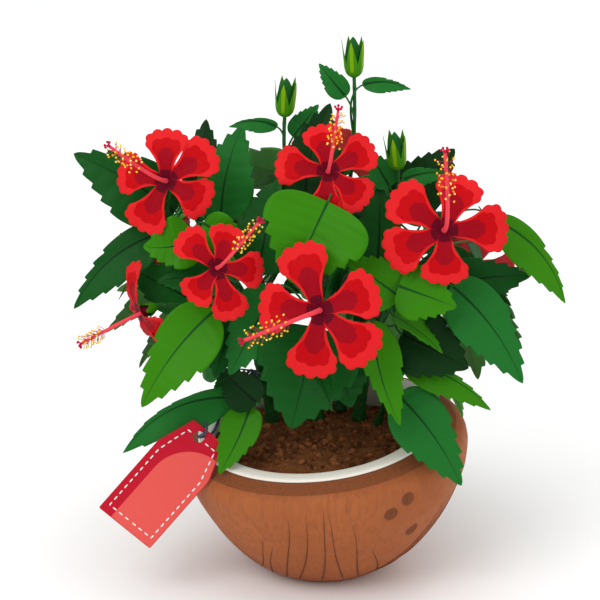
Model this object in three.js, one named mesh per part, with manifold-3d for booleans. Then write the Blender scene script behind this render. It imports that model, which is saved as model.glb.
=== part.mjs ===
// A potted hibiscus shrub in a coconut-shaped pot with a white lining, and a blank swing tag on a cord.
// Millimetres, +Z up. The origin is the centre of the pot's flat underside, and the plant is seen from -Y.

import * as THREE from "three";
import { mergeVertices } from "three/addons/utils/BufferGeometryUtils.js";
import Module from "manifold-3d";

const wasm = await Module();
wasm.setup();

const CLEARANCE = 0.4; // between any two pieces that meet

// Pot: an egg-shaped shell whose axis leans to the left and to the front
const POT_LEAN = { toFront: 5, toLeft: 6 }; // degrees
const POT_SIDES = 28;
const SHELL_PROFILE = [
  // radius, height along the pot's axis
  [0, -12],
  [34, -9],
  [54, 1],
  [87, 24],
  [112, 53],
  [130, 84],
  [141, 112],
  [143, 138],
  [124, 152],
];
const SHELL_WALL = 5;
const SHELL_FLOOR = 16; // along the leaning axis, so that the shell is closed above the ground
const LINING_WALL = 12;
const LINING_FLOOR = 24;
const BULGE_RIGHT = 5; // how far the widest part of the shell is shifted to the right
const WIDEST_AT = 105;
const RIM_HEIGHT = 155;
const LIP = { radius: 121, from: 152 }; // the lining's lip covers the shell's edge
const PORES = {
  radius: 7.2,
  depth: 1.5,
  places: [[-56, 122], [-64, 111], [-51, 77]], // heading, height along the axis
};

// Soil: a low mound with a flat top that the stems stand on
const SOIL_TOP = 136;
const SOIL_EDGE = 127;
const MOUND_RADIUS = 84;
const MOUND_CENTRE = [-12, 0];

// Leaf proportions, as shares of the blade's length or half width
const LEAF_THICKNESS = 2.2;
const STALK_RADIUS = 1.3;
const LEAF_FOLD = 0.16; // how far the edges rise above the midrib
const LEAF_ARCH = 0.05; // how far the middle of the midrib stands above its ends
const LEAF_OUTLINE = [
  // share of the length, share of the half width; the pairs near each other are teeth
  [0.08, 0.66],
  [0.3, 1.0],
  [0.54, 0.92],
  [0.55, 0.77],
  [0.77, 0.6],
  [0.78, 0.44],
];
const SMALL_LEAF_OUTLINE = [[0.12, 0.74], [0.36, 1], [0.7, 0.66]]; // without teeth

// Flower proportions, as shares of the flower's radius
const PETALS = 5;
const PETAL_THICKNESS = 0.03;
const PETAL_OUTLINE = [
  // share of the radius, share of the radius to each side
  [0.07, 0.035],
  [0.42, 0.18],
  [0.74, 0.4],
  [0.9, 0.33],
  [0.96, 0.2],
];
const COLUMN = { radius: 0.045, brush: 0.085, sides: 4 };
const BUD = {
  height: 41,
  radius: 9.5,
  shape: [[0, 0.3], [0.18, 0.82], [0.4, 1], [0.65, 0.88], [0.85, 0.45]], // height and radius, as shares
  sepal: [0.4, 1.1, 0.55], // height, radius and half width of its root, as shares
};

// Colours of the real plant and pot
const GREENS = { bright: 0x3a8203, mid: 0x24732d, dark: 0x16561c, deep: 0x0c380f };
const paint = (color, roughness) => new THREE.MeshStandardMaterial({ color, roughness, metalness: 0 });
const FINISH = {
  stem: paint(0x17501d, 0.6),
  leaf: paint(GREENS.mid, 0.45),
  shell: paint(0xa6603a, 0.65),
  lining: paint(0xe0ddd0, 0.5),
  soil: paint(0x5e381f, 0.95),
  tag: paint(0xea5d5a, 0.6),
  cord: paint(0x373c53, 0.8),
};

const V = (x, y, z) => new THREE.Vector3(x, y, z);
const at = (p) => V(p[0], p[1], p[2]);
const UP = V(0, 0, 1);
const degrees = THREE.MathUtils.degToRad;

// A direction from a heading round Z (0 is +X, 90 is +Y) and a rise above the level
function direction(heading, rise) {
  const h = degrees(heading);
  const r = degrees(rise);
  return V(Math.cos(h) * Math.cos(r), Math.sin(h) * Math.cos(r), Math.sin(r));
}

// The same number from 0 to 1 for the same seed and step
function chance(seed, step) {
  const s = Math.sin(seed * 12.9898 + step * 78.233) * 43758.5453;
  return s - Math.floor(s);
}

// A geometry as an exact solid, turned right side out
function solidOf(geometry) {
  const g = geometry.clone();
  for (const name of Object.keys(g.attributes)) if (name !== "position") g.deleteAttribute(name);
  const merged = mergeVertices(g, 1e-4);
  const vertProperties = new Float32Array(merged.attributes.position.array);
  const triVerts = new Uint32Array(merged.index.array);
  const made = new wasm.Manifold(new wasm.Mesh({ numProp: 3, vertProperties, triVerts }));
  if (made.volume() > 0) return made;
  for (let i = 0; i < triVerts.length; i += 3) {
    [triVerts[i], triVerts[i + 1]] = [triVerts[i + 1], triVerts[i]];
  }
  return new wasm.Manifold(new wasm.Mesh({ numProp: 3, vertProperties, triVerts }));
}

// The largest body of a solid: a scrap that a cut leaves behind is dropped
function largest(solid) {
  return solid.decompose().reduce((a, b) => (b.volume() > a.volume() ? b : a));
}

function meshOf(name, solid, material) {
  const { numProp, numVert, vertProperties, triVerts } = solid.getMesh();
  const places = new Float32Array(numVert * 3);
  for (let i = 0; i < numVert; i++) places.set(vertProperties.subarray(i * numProp, i * numProp + 3), i * 3);
  const geometry = new THREE.BufferGeometry();
  geometry.setAttribute("position", new THREE.BufferAttribute(places, 3));
  geometry.setIndex(new THREE.BufferAttribute(new Uint32Array(triVerts), 1));
  geometry.computeVertexNormals();
  const mesh = new THREE.Mesh(geometry, material);
  mesh.name = name;
  return mesh;
}

// One closed skin over a row of rings. A ring of one point closes to a tip, and a wider end is capped flat.
function loft(rings) {
  const places = rings.flat().flatMap((p) => [p.x, p.y, p.z]);
  const starts = [];
  rings.reduce((n, ring) => (starts.push(n), n + ring.length), 0);
  const faces = [];
  for (let k = 0; k + 1 < rings.length; k++) {
    const [a, b] = [rings[k].length, rings[k + 1].length];
    const sides = Math.max(a, b);
    for (let i = 0; i < sides; i++) {
      const j = (i + 1) % sides;
      const [a0, a1, b0, b1] = [i % a, j % a, i % b, j % b];
      if (a > 1) faces.push(starts[k] + a0, starts[k] + a1, starts[k + 1] + b1);
      if (b > 1) faces.push(starts[k] + a0, starts[k + 1] + b1, starts[k + 1] + b0);
    }
  }
  const cap = (start, n, turned) => {
    for (let i = 1; i + 1 < n; i++) {
      const [a, b] = turned ? [i + 1, i] : [i, i + 1];
      faces.push(start, start + a, start + b);
    }
  };
  cap(starts[0], rings[0].length, true);
  cap(starts.at(-1), rings.at(-1).length, false);
  const geometry = new THREE.BufferGeometry();
  geometry.setAttribute("position", new THREE.Float32BufferAttribute(places, 3));
  geometry.setIndex(faces);
  return solidOf(geometry);
}

// A round section at a point, square to a direction, whose first corner lies as near to a side as it can
function ring(centre, along, radius, sides, side = UP) {
  const u = side.clone().addScaledVector(along, -side.dot(along)).normalize();
  const v = new THREE.Vector3().crossVectors(along, u);
  return Array.from({ length: sides }, (_, i) => {
    const a = (2 * Math.PI * i) / sides;
    return centre.clone().addScaledVector(u, radius * Math.cos(a)).addScaledVector(v, radius * Math.sin(a));
  });
}

// A tapering tube along a curve. radius is a function of the share of the way along it, and past is how far
// the tube reaches beyond the curve's ends.
function tube(curve, radius, sides, steps, past = 0) {
  let side = Math.abs(curve.getTangent(0).z) > 0.9 ? V(1, 0, 0) : UP;
  const rings = [];
  for (let i = 0; i <= steps; i++) {
    const along = curve.getTangent(i / steps);
    const beyond = i === 0 ? -past : i === steps ? past : 0;
    side = side.clone().addScaledVector(along, -side.dot(along)).normalize();
    const centre = curve.getPoint(i / steps).addScaledVector(along, beyond);
    rings.push(ring(centre, along, radius(i / steps), sides, side));
  }
  return loft(rings);
}

// Pot

const lean = new THREE.Matrix4().makeRotationFromEuler(
  new THREE.Euler(degrees(POT_LEAN.toFront), degrees(-POT_LEAN.toLeft), 0, "XYZ"),
);

// How far a height of the pot is shifted to the right, nothing at the rim and most at the widest part
function bulge(height) {
  const share = height > WIDEST_AT ? (RIM_HEIGHT - height) / (RIM_HEIGHT - WIDEST_AT) : height / WIDEST_AT;
  return BULGE_RIGHT * Math.sin((Math.PI / 2) * THREE.MathUtils.clamp(share, 0, 1));
}

// A closed solid of revolution about the pot's own axis, leaned as the pot is
function potSolid(profile) {
  const lathe = new THREE.LatheGeometry(
    profile.map(([r, h]) => new THREE.Vector2(Math.max(r, 0), h)),
    POT_SIDES,
  );
  lathe.rotateX(Math.PI / 2);
  const p = lathe.attributes.position;
  for (let i = 0; i < p.count; i++) p.setX(i, p.getX(i) + bulge(p.getZ(i)));
  lathe.applyMatrix4(lean);
  return solidOf(lathe);
}

// The pot's outline moved inwards, from the axis at a floor up to the rim, with every other of its points
function inset(wall, floor) {
  const coarse = SHELL_PROFILE.filter((_, i) => i % 2 === 0);
  const k = coarse.findIndex(([, h]) => h > floor);
  const [[r0, h0], [r1, h1]] = [coarse[k - 1], coarse[k]];
  const edge = THREE.MathUtils.mapLinear(floor, h0, h1, r0, r1);
  return [[0, floor], [edge - wall, floor], ...coarse.slice(k).map(([r, h]) => [r - wall, h])];
}

// The room inside the pot at a distance from its outside, up to its rim or past it
function room(wall, floor, above = 0) {
  const outline = inset(wall, floor);
  const [r, h] = outline.at(-1);
  if (above > 0) outline.push([r, h + above]);
  return potSolid([...outline, [0, outline.at(-1)[1]]]);
}

const slab = (x, y, z0, z1) => {
  const box = new THREE.BoxGeometry(x, y, z1 - z0);
  box.translate(0, 0, (z0 + z1) / 2);
  return solidOf(box);
};

const aboveGround = slab(800, 800, 0, 800);
const OVER_RIM = 30; // how far a cutting solid reaches above the rim

// A point of the shell's outside and the direction straight out from it
function onShell(heading, height) {
  const k = SHELL_PROFILE.findIndex(([, h]) => h > height);
  const [[r0, h0], [r1, h1]] = [SHELL_PROFILE[k - 1], SHELL_PROFILE[k]];
  const radius = THREE.MathUtils.mapLinear(height, h0, h1, r0, r1);
  const outward = direction(heading, 0);
  const place = outward.clone().multiplyScalar(radius).add(V(bulge(height), 0, height)).applyMatrix4(lean);
  const normal = outward.setZ((r0 - r1) / (h1 - h0)).normalize().applyMatrix4(lean);
  return { place, normal };
}

function makeShell() {
  const outside = potSolid([...SHELL_PROFILE, [0, LIP.from]]);
  let shell = outside.subtract(room(SHELL_WALL, SHELL_FLOOR, OVER_RIM)).intersect(aboveGround);
  for (const [heading, height] of PORES.places) {
    const { place, normal } = onShell(heading, height);
    const [inner, outer] = [-PORES.depth, 20].map((d) => place.clone().addScaledVector(normal, d));
    shell = shell.subtract(tube(new THREE.LineCurve3(inner, outer), () => PORES.radius, 12, 1));
  }
  return shell;
}

// The lining follows the shell's inside and ends in a lip over the shell's edge.
function makeLining() {
  const outside = inset(SHELL_WALL + CLEARANCE, SHELL_FLOOR + CLEARANCE);
  const inside = inset(SHELL_WALL + LINING_WALL, LINING_FLOOR).reverse();
  const bottom = LIP.from + CLEARANCE;
  const lip = [
    [outside.at(-1)[0], bottom],
    [LIP.radius + 2, bottom],
    [LIP.radius, RIM_HEIGHT],
    [inside[0][0], RIM_HEIGHT],
  ];
  return potSolid([...outside, ...lip, ...inside]);
}

// All that lies below the soil's surface, which rises to a low mound
function belowSurface() {
  const [x, y] = MOUND_CENTRE;
  const profile = [
    [0, 0],
    [300, 0],
    [300, SOIL_EDGE],
    [MOUND_RADIUS + 26, SOIL_EDGE],
    [MOUND_RADIUS + 8, SOIL_TOP - 3],
    [MOUND_RADIUS, SOIL_TOP],
    [0, SOIL_TOP],
  ];
  const lathe = new THREE.LatheGeometry(
    profile.map(([r, h]) => new THREE.Vector2(r, h)),
    POT_SIDES,
  );
  lathe.rotateX(Math.PI / 2);
  lathe.translate(x, y, 0);
  return solidOf(lathe);
}

function makeSoil() {
  return room(SHELL_WALL + LINING_WALL + CLEARANCE, LINING_FLOOR + CLEARANCE).intersect(belowSurface());
}

// Limbs

// Each stem stands on the soil. foot and tip are its ends, and by is a point that it bends towards.
const STEMS = {
  stem_left: { foot: [-63, 38], by: [-74, 18, 205], tip: [-90, 0, 262], radii: [5.4, 4.2] },
  stem_centre: { foot: [-18, 40], by: [-14, 34, 240], tip: [-10, 14, 316], radii: [5.4, 4.2] },
  stem_right: { foot: [25, 42], by: [34, 30, 225], tip: [52, 4, 288], radii: [5.4, 4.2] },
  stem_far_right: { foot: [44, 26], by: [54, 4, 180], tip: [68, -32, 216], radii: [3.4, 2.8] },
  stem_back_left: { foot: [-44, 58], by: [-60, 74, 220], tip: [-80, 76, 288], radii: [4.8, 3.8] },
  stem_back_right: { foot: [6, 64], by: [20, 84, 225], tip: [46, 82, 284], radii: [4.8, 3.8] },
};

// Each bough leaves the tip of its stem, or a point along it, and by is a point that it bends towards.
const BOUGHS = {
  bough_upper_left: { stem: "stem_left", by: [-108, -4, 330], tip: [-140, -20, 378], radii: [4, 3.2] },
  bough_left: { stem: "stem_left", by: [-104, -34, 284], tip: [-140, -60, 296], radii: [3.4, 2.8] },
  bough_centre_left: { stem: "stem_left", by: [-84, -34, 290], tip: [-96, -68, 322], radii: [3.2, 2.7] },
  bough_low_left: {
    stem: "stem_left",
    along: 0.42,
    by: [-84, -8, 208],
    tip: [-86, -44, 211],
    radii: [3, 2.6],
  },
  bough_front: { stem: "stem_centre", by: [-14, -36, 304], tip: [-15, -84, 290], radii: [3.6, 3] },
  bough_top: { stem: "stem_centre", by: [-12, -2, 370], tip: [-10, -26, 400], radii: [3.6, 3] },
  bough_bud_left: { stem: "stem_centre", by: [-40, 14, 360], tip: [-48, -4, 412], radii: [3, 2.2] },
  bough_bud_top: { stem: "stem_centre", by: [12, 26, 360], tip: [17, 10, 425], radii: [2.6, 2] },
  bough_right: { stem: "stem_right", by: [80, -14, 318], tip: [100, -50, 350], radii: [3.8, 3.2] },
  bough_bud_right: { stem: "stem_right", by: [54, 0, 335], tip: [60, -24, 372], radii: [2.8, 2.2] },
  bough_right_low: { stem: "stem_right", by: [50, -44, 290], tip: [58, -80, 308], radii: [3.2, 2.8] },
  bough_back_high_left: {
    stem: "stem_back_left",
    by: [-96, 68, 326],
    tip: [-112, 56, 344],
    radii: [3.4, 2.8],
  },
  bough_back_left: { stem: "stem_back_left", by: [-104, 82, 282], tip: [-114, 82, 278], radii: [3.2, 2.7] },
  bough_back_low_left: { stem: "stem_back_left", by: [-82, 112, 260], tip: [-84, 134, 252], radii: [3, 2.6] },
  bough_back_top: { stem: "stem_back_right", by: [16, 92, 330], tip: [-4, 96, 352], radii: [3.4, 2.8] },
  bough_back_middle: {
    stem: "stem_back_left",
    along: 0.8,
    by: [-54, 66, 296],
    tip: [-44, 58, 314],
    radii: [3, 2.6],
  },
  bough_back_right: { stem: "stem_back_right", by: [88, 74, 284], tip: [108, 62, 284], radii: [3.2, 2.7] },
  bough_back_high_right: { stem: "stem_back_right", by: [66, 66, 314], tip: [82, 50, 330], radii: [3, 2.6] },
  bough_back_low_right: { stem: "stem_back_right", by: [44, 122, 258], tip: [46, 140, 246], radii: [3, 2.6] },
};

const LIMB_SIDES = 6;
const LIMB_STEPS = 3;
const ROOT_FLARE = 0.45; // how much wider a stem is at the soil than just above it

function limbRadius([thick, thin], flare) {
  return (t) => THREE.MathUtils.lerp(thick, thin, t) * (1 + flare * Math.exp(-t * 14));
}

function stemCurve({ foot, by, tip }) {
  const [x, y] = foot;
  return new THREE.QuadraticBezierCurve3(V(x, y, SOIL_TOP + CLEARANCE), at(by), at(tip));
}

function boughCurve({ stem, along = 1, by, tip }) {
  return new THREE.QuadraticBezierCurve3(stemCurve(STEMS[stem]).getPoint(along), at(by), at(tip));
}

// Each limb is cut clear of those before it, so that a bough meets its stem face to face.
function makeLimbs() {
  const made = {};
  const swollen = [];
  const add = (name, curve, radii, flare, steps) => {
    const whole = (extra) => {
      const radius = limbRadius(radii, flare);
      return tube(curve, (t) => radius(t) + extra, LIMB_SIDES, steps, extra);
    };
    let solid = whole(0);
    if (flare > 0) solid = solid.intersect(slab(800, 800, SOIL_TOP + CLEARANCE, 800));
    for (const other of swollen) solid = solid.subtract(other);
    made[name] = largest(solid);
    swollen.push(whole(CLEARANCE));
  };
  for (const [name, s] of Object.entries(STEMS)) add(name, stemCurve(s), s.radii, ROOT_FLARE, LIMB_STEPS + 2);
  for (const [name, b] of Object.entries(BOUGHS)) add(name, boughCurve(b), b.radii, 0, LIMB_STEPS);
  return made;
}

// Leaves, flowers and buds

// The midrib of a leaf from the foot of its blade to its tip, and the direction that its upper face turns to.
// bow is how far the midrib bends to the left of its own direction.
function midrib({ base, tip, face, bow = 0 }) {
  const chord = tip.clone().sub(base);
  const length = chord.length();
  const along = chord.divideScalar(length);
  const normal = face.clone().addScaledVector(along, -face.dot(along)).normalize();
  const left = new THREE.Vector3().crossVectors(normal, along);
  const crest = base.clone().lerp(tip, 0.5);
  crest.addScaledVector(normal, 2 * LEAF_ARCH * length).addScaledVector(left, 2 * bow);
  return { normal, curve: new THREE.QuadraticBezierCurve3(base, crest, tip) };
}

// One skin from the stalk's root inside the twig to the tip of the blade. A bare leaf is the blade alone.
function leafSolid(leaf, bare = false) {
  const { normal, curve } = midrib(leaf);
  const section = (place, along, half, thick) => {
    const side = new THREE.Vector3().crossVectors(normal, along).normalize();
    const lift = new THREE.Vector3().crossVectors(along, side);
    const rise = LEAF_FOLD * (half - STALK_RADIUS);
    const edge = (sign) => place.clone().addScaledVector(side, sign * half).addScaledVector(lift, rise);
    const middle = (sign) => place.clone().addScaledVector(lift, sign * thick);
    return [edge(1), middle(1), edge(-1), middle(-1)];
  };
  const rings = [section(leaf.base, curve.getTangent(0), STALK_RADIUS, STALK_RADIUS)];
  if (!bare) {
    const stalkWay = leaf.base.clone().sub(leaf.from).normalize();
    rings.unshift(section(leaf.from, stalkWay, STALK_RADIUS, STALK_RADIUS));
  }
  for (const [t, share] of leaf.small ? SMALL_LEAF_OUTLINE : LEAF_OUTLINE) {
    const half = Math.max((share * leaf.width) / 2, STALK_RADIUS);
    rings.push(section(curve.getPoint(t), curve.getTangent(t), half, (LEAF_THICKNESS / 2) * (1 - 0.6 * t)));
  }
  rings.push([leaf.tip.clone()]);
  return loft(rings);
}

// The direction of a clock's hand on a dial that faces the viewer, in degrees from its top, and the one
// square to it
function across(facing, clock) {
  const top = UP.clone().addScaledVector(facing, -UP.dot(facing)).normalize();
  const right = new THREE.Vector3().crossVectors(top, facing);
  const a = degrees(clock);
  return [
    top.clone().multiplyScalar(Math.cos(a)).addScaledVector(right, Math.sin(a)),
    right.clone().multiplyScalar(Math.cos(a)).addScaledVector(top, -Math.sin(a)),
  ];
}

// One petal: narrow at its foot, widest near its end. open is 0 for a flat flower and 1 for one swept back.
function petalSolid(centre, facing, clock, radius, open, length) {
  const [out, side] = across(facing, clock);
  const place = (s) => {
    const rise = 0.34 * s - 0.36 * s * s - open * 0.9 * s * s;
    const reach = s * length * (1 - open * 0.35 * s);
    return centre.clone().addScaledVector(out, reach * radius).addScaledVector(facing, rise * radius);
  };
  const thick = (PETAL_THICKNESS * radius) / 2;
  const rings = PETAL_OUTLINE.map(([s, half]) => {
    const p = place(s);
    const along = place(s + 0.02).sub(place(s - 0.02)).normalize();
    const lift = new THREE.Vector3().crossVectors(side, along).normalize().multiplyScalar(-1);
    const edge = (sign) =>
      p.clone().addScaledVector(side, sign * half * radius).addScaledVector(lift, 0.1 * half * radius);
    const middle = (sign) => p.clone().addScaledVector(lift, sign * thick);
    return [edge(1), middle(1), edge(-1), middle(-1)];
  });
  rings.push([place(1)]);
  return loft(rings);
}

// The long column from the throat, with its brush of anthers and its knob. tip is where it ends.
function columnSolid(centre, facing, tip, radius) {
  const bend = centre.clone().addScaledVector(facing, 0.5 * centre.distanceTo(tip));
  const foot = centre.clone().addScaledVector(facing, -0.05 * radius);
  const curve = new THREE.QuadraticBezierCurve3(foot, bend, tip);
  const [thin, thick] = [COLUMN.radius * radius, COLUMN.brush * radius];
  const widths = [thin, thin, thin, thick, thick, thin];
  const steps = widths.length - 1;
  return tube(curve, (t) => widths[Math.round(t * steps)], COLUMN.sides, steps);
}

function flowerSolids({ centre, facing, radius, petals, column, open = 0 }) {
  const back = centre.clone().addScaledVector(facing, -0.34 * radius);
  const front = centre.clone().addScaledVector(facing, 0.04 * radius);
  const cupRadius = (t) => radius * THREE.MathUtils.lerp(0.05, 0.13, t);
  const parts = [tube(new THREE.LineCurve3(back, front), cupRadius, 6, 2)];
  for (const [clock, length] of petals) parts.push(petalSolid(centre, facing, clock, radius, open, length));
  parts.push(columnSolid(centre, facing, column, radius));
  return parts;
}

// A closed bud in its cup of pointed sepals
function budSolids(foot, along, size) {
  const height = BUD.height * size;
  const width = BUD.radius * size;
  const up = (h) => foot.clone().addScaledVector(along, h * height);
  const parts = [loft([...BUD.shape.map(([h, r]) => ring(up(h), along, r * width, 6)), [up(1)]])];
  for (let i = 0; i < PETALS; i++) {
    const [out, side] = across(along, (360 / PETALS) * i + 20);
    const point = (h, r, aside) => up(h).addScaledVector(out, r * width).addScaledVector(side, aside);
    const [h, r, half] = BUD.sepal;
    const root = [point(h, r - 0.35, half * width), point(h, r, 0), point(h, r - 0.35, -half * width)];
    parts.push(loft([root, [point(0.93, 1.3, 0)]]));
  }
  return parts;
}

// Shoots: each is a twig that carries on from its bough, with its leaves and its flower or bud

// The dial that the clock angles of the front leaves are read on: it faces the front, a little upwards
const FRONT = direction(-90, 20);

// A leaf's row: tone, place of its stalk along the twig, foot of its blade, length, width, clock angle, bow
// A petal's pair: clock angle, length as a share of the flower's radius
const SHOOTS = {
  shoot_upper_left: {
    bough: "bough_upper_left",
    end: [-164, -46, 421],
    flower: {
      centre: [-165, -70, 429],
      facing: [-0.15, -0.94, 0.3],
      radius: 55,
      petals: [[359, 0.92], [54, 1.04], [115, 0.9], [205, 1], [279, 0.88]],
      column: [-216, -138, 486],
    },
    leaves: [
      ["dark", 0.45, [-158, -32, 384], 115, 72, 300, -5],
      ["deep", 0.2, [-132, 4, 389], 76, 46, 3, 0],
      ["mid", 0.1, [-113, -16, 369], 98, 64, 13, 4],
    ],
  },
  shoot_left: {
    bough: "bough_left",
    end: [-176, -76, 303],
    flower: {
      centre: [-190, -82, 297],
      facing: [-0.86, -0.42, -0.28],
      radius: 50,
      petals: [[352, 1.1], [292, 0.95], [232, 0.8], [172, 0.85], [118, 0.75]],
      column: [-248, -100, 272],
      open: 0.3,
    },
    leaves: [
      ["dark", 0.1, [-172, -28, 361], 114, 48, 229, -12],
      ["mid", 0.3, [-141, -42, 296], 73, 52, 297, 0],
    ],
  },
  shoot_centre_left: {
    bough: "bough_centre_left",
    end: [-114, -100, 349],
    flower: {
      centre: [-115, -120, 357],
      facing: [0.1, -0.94, 0.32],
      radius: 47,
      petals: [[19, 0.92], [95, 0.97], [164, 1.12], [223, 0.88], [315, 1.04]],
      column: [-74, -186, 426],
    },
    leaves: [
      ["bright", 0.5, [-136, -84, 374], 52, 56, 262, 4],
      ["bright", 0.7, [-129, -88, 392], 49, 40, 119, 0],
      ["bright", 0.1, [-118, -100, 306], 118, 66, 217, -6],
      ["dark", 0.1, [-101, -78, 286], 58, 40, 198, 0],
    ],
  },
  shoot_low_left: {
    bough: "bough_low_left",
    end: [-88, -72, 208],
    leaves: [
      ["mid", 0.5, [-98, -70, 203], 125, 38, 244, -17],
      ["bright", 0.9, [-84, -78, 197], 74, 42, 205, 3],
      ["deep", 0.3, [-77, -50, 190], 53, 44, 313, 0],
    ],
  },
  shoot_front: {
    bough: "bough_front",
    end: [-16, -138, 322],
    flower: {
      centre: [-16, -160, 328],
      facing: [-0.08, -0.94, 0.32],
      radius: 64,
      petals: [[340, 1.06], [68, 0.94], [129, 1.08], [187, 1.02], [271, 0.92]],
      column: [-88, -234, 325],
    },
    leaves: [
      ["dark", 0.5, [-19, -104, 290], 102, 106, 194, 0],
      ["mid", 0.3, [-59, -86, 324], 96, 60, 208, 0],
      ["dark", 0.25, [-6, -80, 276], 77, 75, 164, 0],
    ],
  },
  shoot_top: {
    bough: "bough_top",
    end: [-8, -70, 438],
    flower: {
      centre: [-8, -90, 445],
      facing: [0.02, -0.95, 0.32],
      radius: 50,
      petals: [[351, 0.92], [61, 1.02], [129, 0.99], [185, 0.9], [279, 1.03]],
      column: [1, -158, 528],
    },
    leaves: [
      ["deep", 0.1, [-30, -10, 384], 102, 64, 14, 6],
      ["dark", 0.05, [-76, -58, 329], 95, 66, 12, 0],
      ["bright", 0.6, [-8, -98, 417], 86, 112, 205, 0],
      ["dark", 0.05, [40, -32, 320], 88, 56, 2, 0],
    ],
  },
  shoot_right: {
    bough: "bough_right",
    end: [103, -88, 386],
    flower: {
      centre: [104, -110, 392],
      facing: [0.06, -0.94, 0.33],
      radius: 61,
      petals: [[21, 0.92], [89, 1.02], [181, 0.86], [247, 1.02], [307, 1.02]],
      column: [101, -188, 496],
    },
    leaves: [
      ["bright", 0.4, [157, -46, 380], 106, 40, 140, 12],
      ["dark", 0.1, [103, -50, 314], 90, 50, 84, 3],
      ["deep", 0.1, [62, -14, 385], 79, 60, 45, 0],
    ],
  },
  shoot_right_low: {
    bough: "bough_right_low",
    end: [62, -116, 328],
    leaves: [
      ["mid", 0.3, [113, -84, 326], 118, 62, 144, 7],
      ["bright", 0.7, [62, -114, 325], 63, 56, 306, 0],
      ["bright", 0.95, [60, -118, 338], 60, 58, 110, 0],
      ["deep", 0.05, [64, -44, 261], 74, 70, 117, 0],
    ],
  },
  shoot_low_right: {
    bough: "stem_far_right",
    end: [62, -92, 244],
    leaves: [
      ["bright", 0.75, [64, -90, 248], 100, 32, 118, 9],
      ["bright", 0.95, [35, -112, 300], 106, 42, 165, -6],
      ["mid", 0.5, [61, -98, 217], 109, 62, 145, 5],
    ],
  },
  shoot_bud_left: {
    bough: "bough_bud_left",
    end: [-50, -20, 481],
    bud: 1,
    leaves: [
      ["mid", 0.5, [-57, -20, 468], 48, 16, 270, -6],
      ["mid", 0.3, [-42, -26, 460], 41, 26, 38, 0],
    ],
  },
  shoot_bud_top: {
    bough: "bough_bud_top",
    end: [18, 0, 515],
    bud: 1,
    leaves: [
      ["mid", 0.25, [10, -4, 494], 42, 25, 321, 0],
      ["mid", 0.35, [26, -4, 506], 48, 17, 95, 5],
    ],
  },
  shoot_bud_right: {
    bough: "bough_bud_right",
    end: [60, -46, 435],
    bud: 1,
    leaves: [
      ["mid", 0.4, [53, -44, 414], 42, 30, 328, 0],
      ["mid", 0.6, [65, -52, 424], 46, 20, 83, 4],
    ],
  },
};

// The shoots of the back follow one rule. heading and rise say which way they reach, bloom what they end in.
const BACK_SHOOTS = {
  shoot_back_high_left: {
    bough: "bough_back_high_left",
    heading: 165,
    rise: 25,
    reach: 50,
    bloom: "none",
    seed: 3,
  },
  shoot_back_left: { bough: "bough_back_left", heading: 148, rise: 0, reach: 44, bloom: "flower", seed: 8 },
  shoot_back_low_left: {
    bough: "bough_back_low_left",
    heading: 110,
    rise: 0,
    reach: 44,
    bloom: "bud",
    seed: 5,
  },
  shoot_back_top: { bough: "bough_back_top", heading: 90, rise: 15, reach: 50, bloom: "flower", seed: 12 },
  shoot_back_middle: {
    bough: "bough_back_middle",
    heading: 80,
    rise: 60,
    reach: 44,
    bloom: "none",
    seed: 31,
  },
  shoot_back_right: { bough: "bough_back_right", heading: 52, rise: -5, reach: 44, bloom: "flower", seed: 9 },
  shoot_back_high_right: {
    bough: "bough_back_high_right",
    heading: 30,
    rise: 25,
    reach: 40,
    bloom: "none",
    seed: 21,
  },
  shoot_back_low_right: {
    bough: "bough_back_low_right",
    heading: 72,
    rise: 0,
    reach: 44,
    bloom: "none",
    seed: 15,
  },
};
const BACK_LEAVES = 6;
const GOLDEN_ANGLE = 137.5;
const BACK_FLOWER_RADIUS = 50;
const BACK_STALK = 26;
const SIDE_LEAVES = 3; // on each front shoot without a bud
const SIDE_STALK = 14;
const CROWN = { middle: [-50, 40], half: [280, 340], top: 405 };
const TONES = ["dark", "mid", "bright", "mid", "dark", "deep", "bright"];

const TWIG_RADII = { thick: 2.8, thin: 2, bud: 1.8 };
const TWIG_SIDES = 4;
const SIMPLIFY = 0.3; // how far a joined shoot's surface may move where that saves faces
const TWIG_STEPS = 3;

const limbCurve = (name) => (BOUGHS[name] ? boughCurve(BOUGHS[name]) : stemCurve(STEMS[name]));
const limbRadii = (name) => (BOUGHS[name] || STEMS[name]).radii;

// A twig starts just past its bough's tip, in the bough's own direction.
function twigCurve(bough, end) {
  const limb = limbCurve(bough);
  const along = limb.getTangent(1);
  const start = limb.getPoint(1).addScaledVector(along, CLEARANCE);
  const bend = start.clone().addScaledVector(along, 0.4 * start.distanceTo(end));
  return new THREE.QuadraticBezierCurve3(start, bend, end);
}

// The leaf of a front shoot from its row
function frontLeaf([, along, foot, length, width, clock, bow], twig) {
  const base = at(foot);
  const tip = base.clone().addScaledVector(across(FRONT, clock)[0], length);
  const face = FRONT.clone().addScaledVector(tip.clone().setZ(0).normalize(), 0.3);
  return { from: twig.getPoint(along), base, tip, width, bow, face, free: FRONT };
}

// The height that the back of the crown keeps below: a dome over its middle
function crownTop({ x, y }) {
  const [across, deep] = [(x - CROWN.middle[0]) / CROWN.half[0], (y - CROWN.middle[1]) / CROWN.half[1]];
  return CROWN.top * Math.sqrt(Math.max(1 - across * across - deep * deep, 0));
}

// The ends of a leaf on its stalk. It droops as far as keeps its tip below the crown's top.
function drooping(from, way, stalk, length) {
  const reach = (share) => from.clone().addScaledVector(way, stalk + share * length);
  while (way.z > -0.9 && reach(1).z > crownTop(reach(1))) way.addScaledVector(UP, -0.1).normalize();
  return { from, base: reach(0), tip: reach(1) };
}

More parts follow.
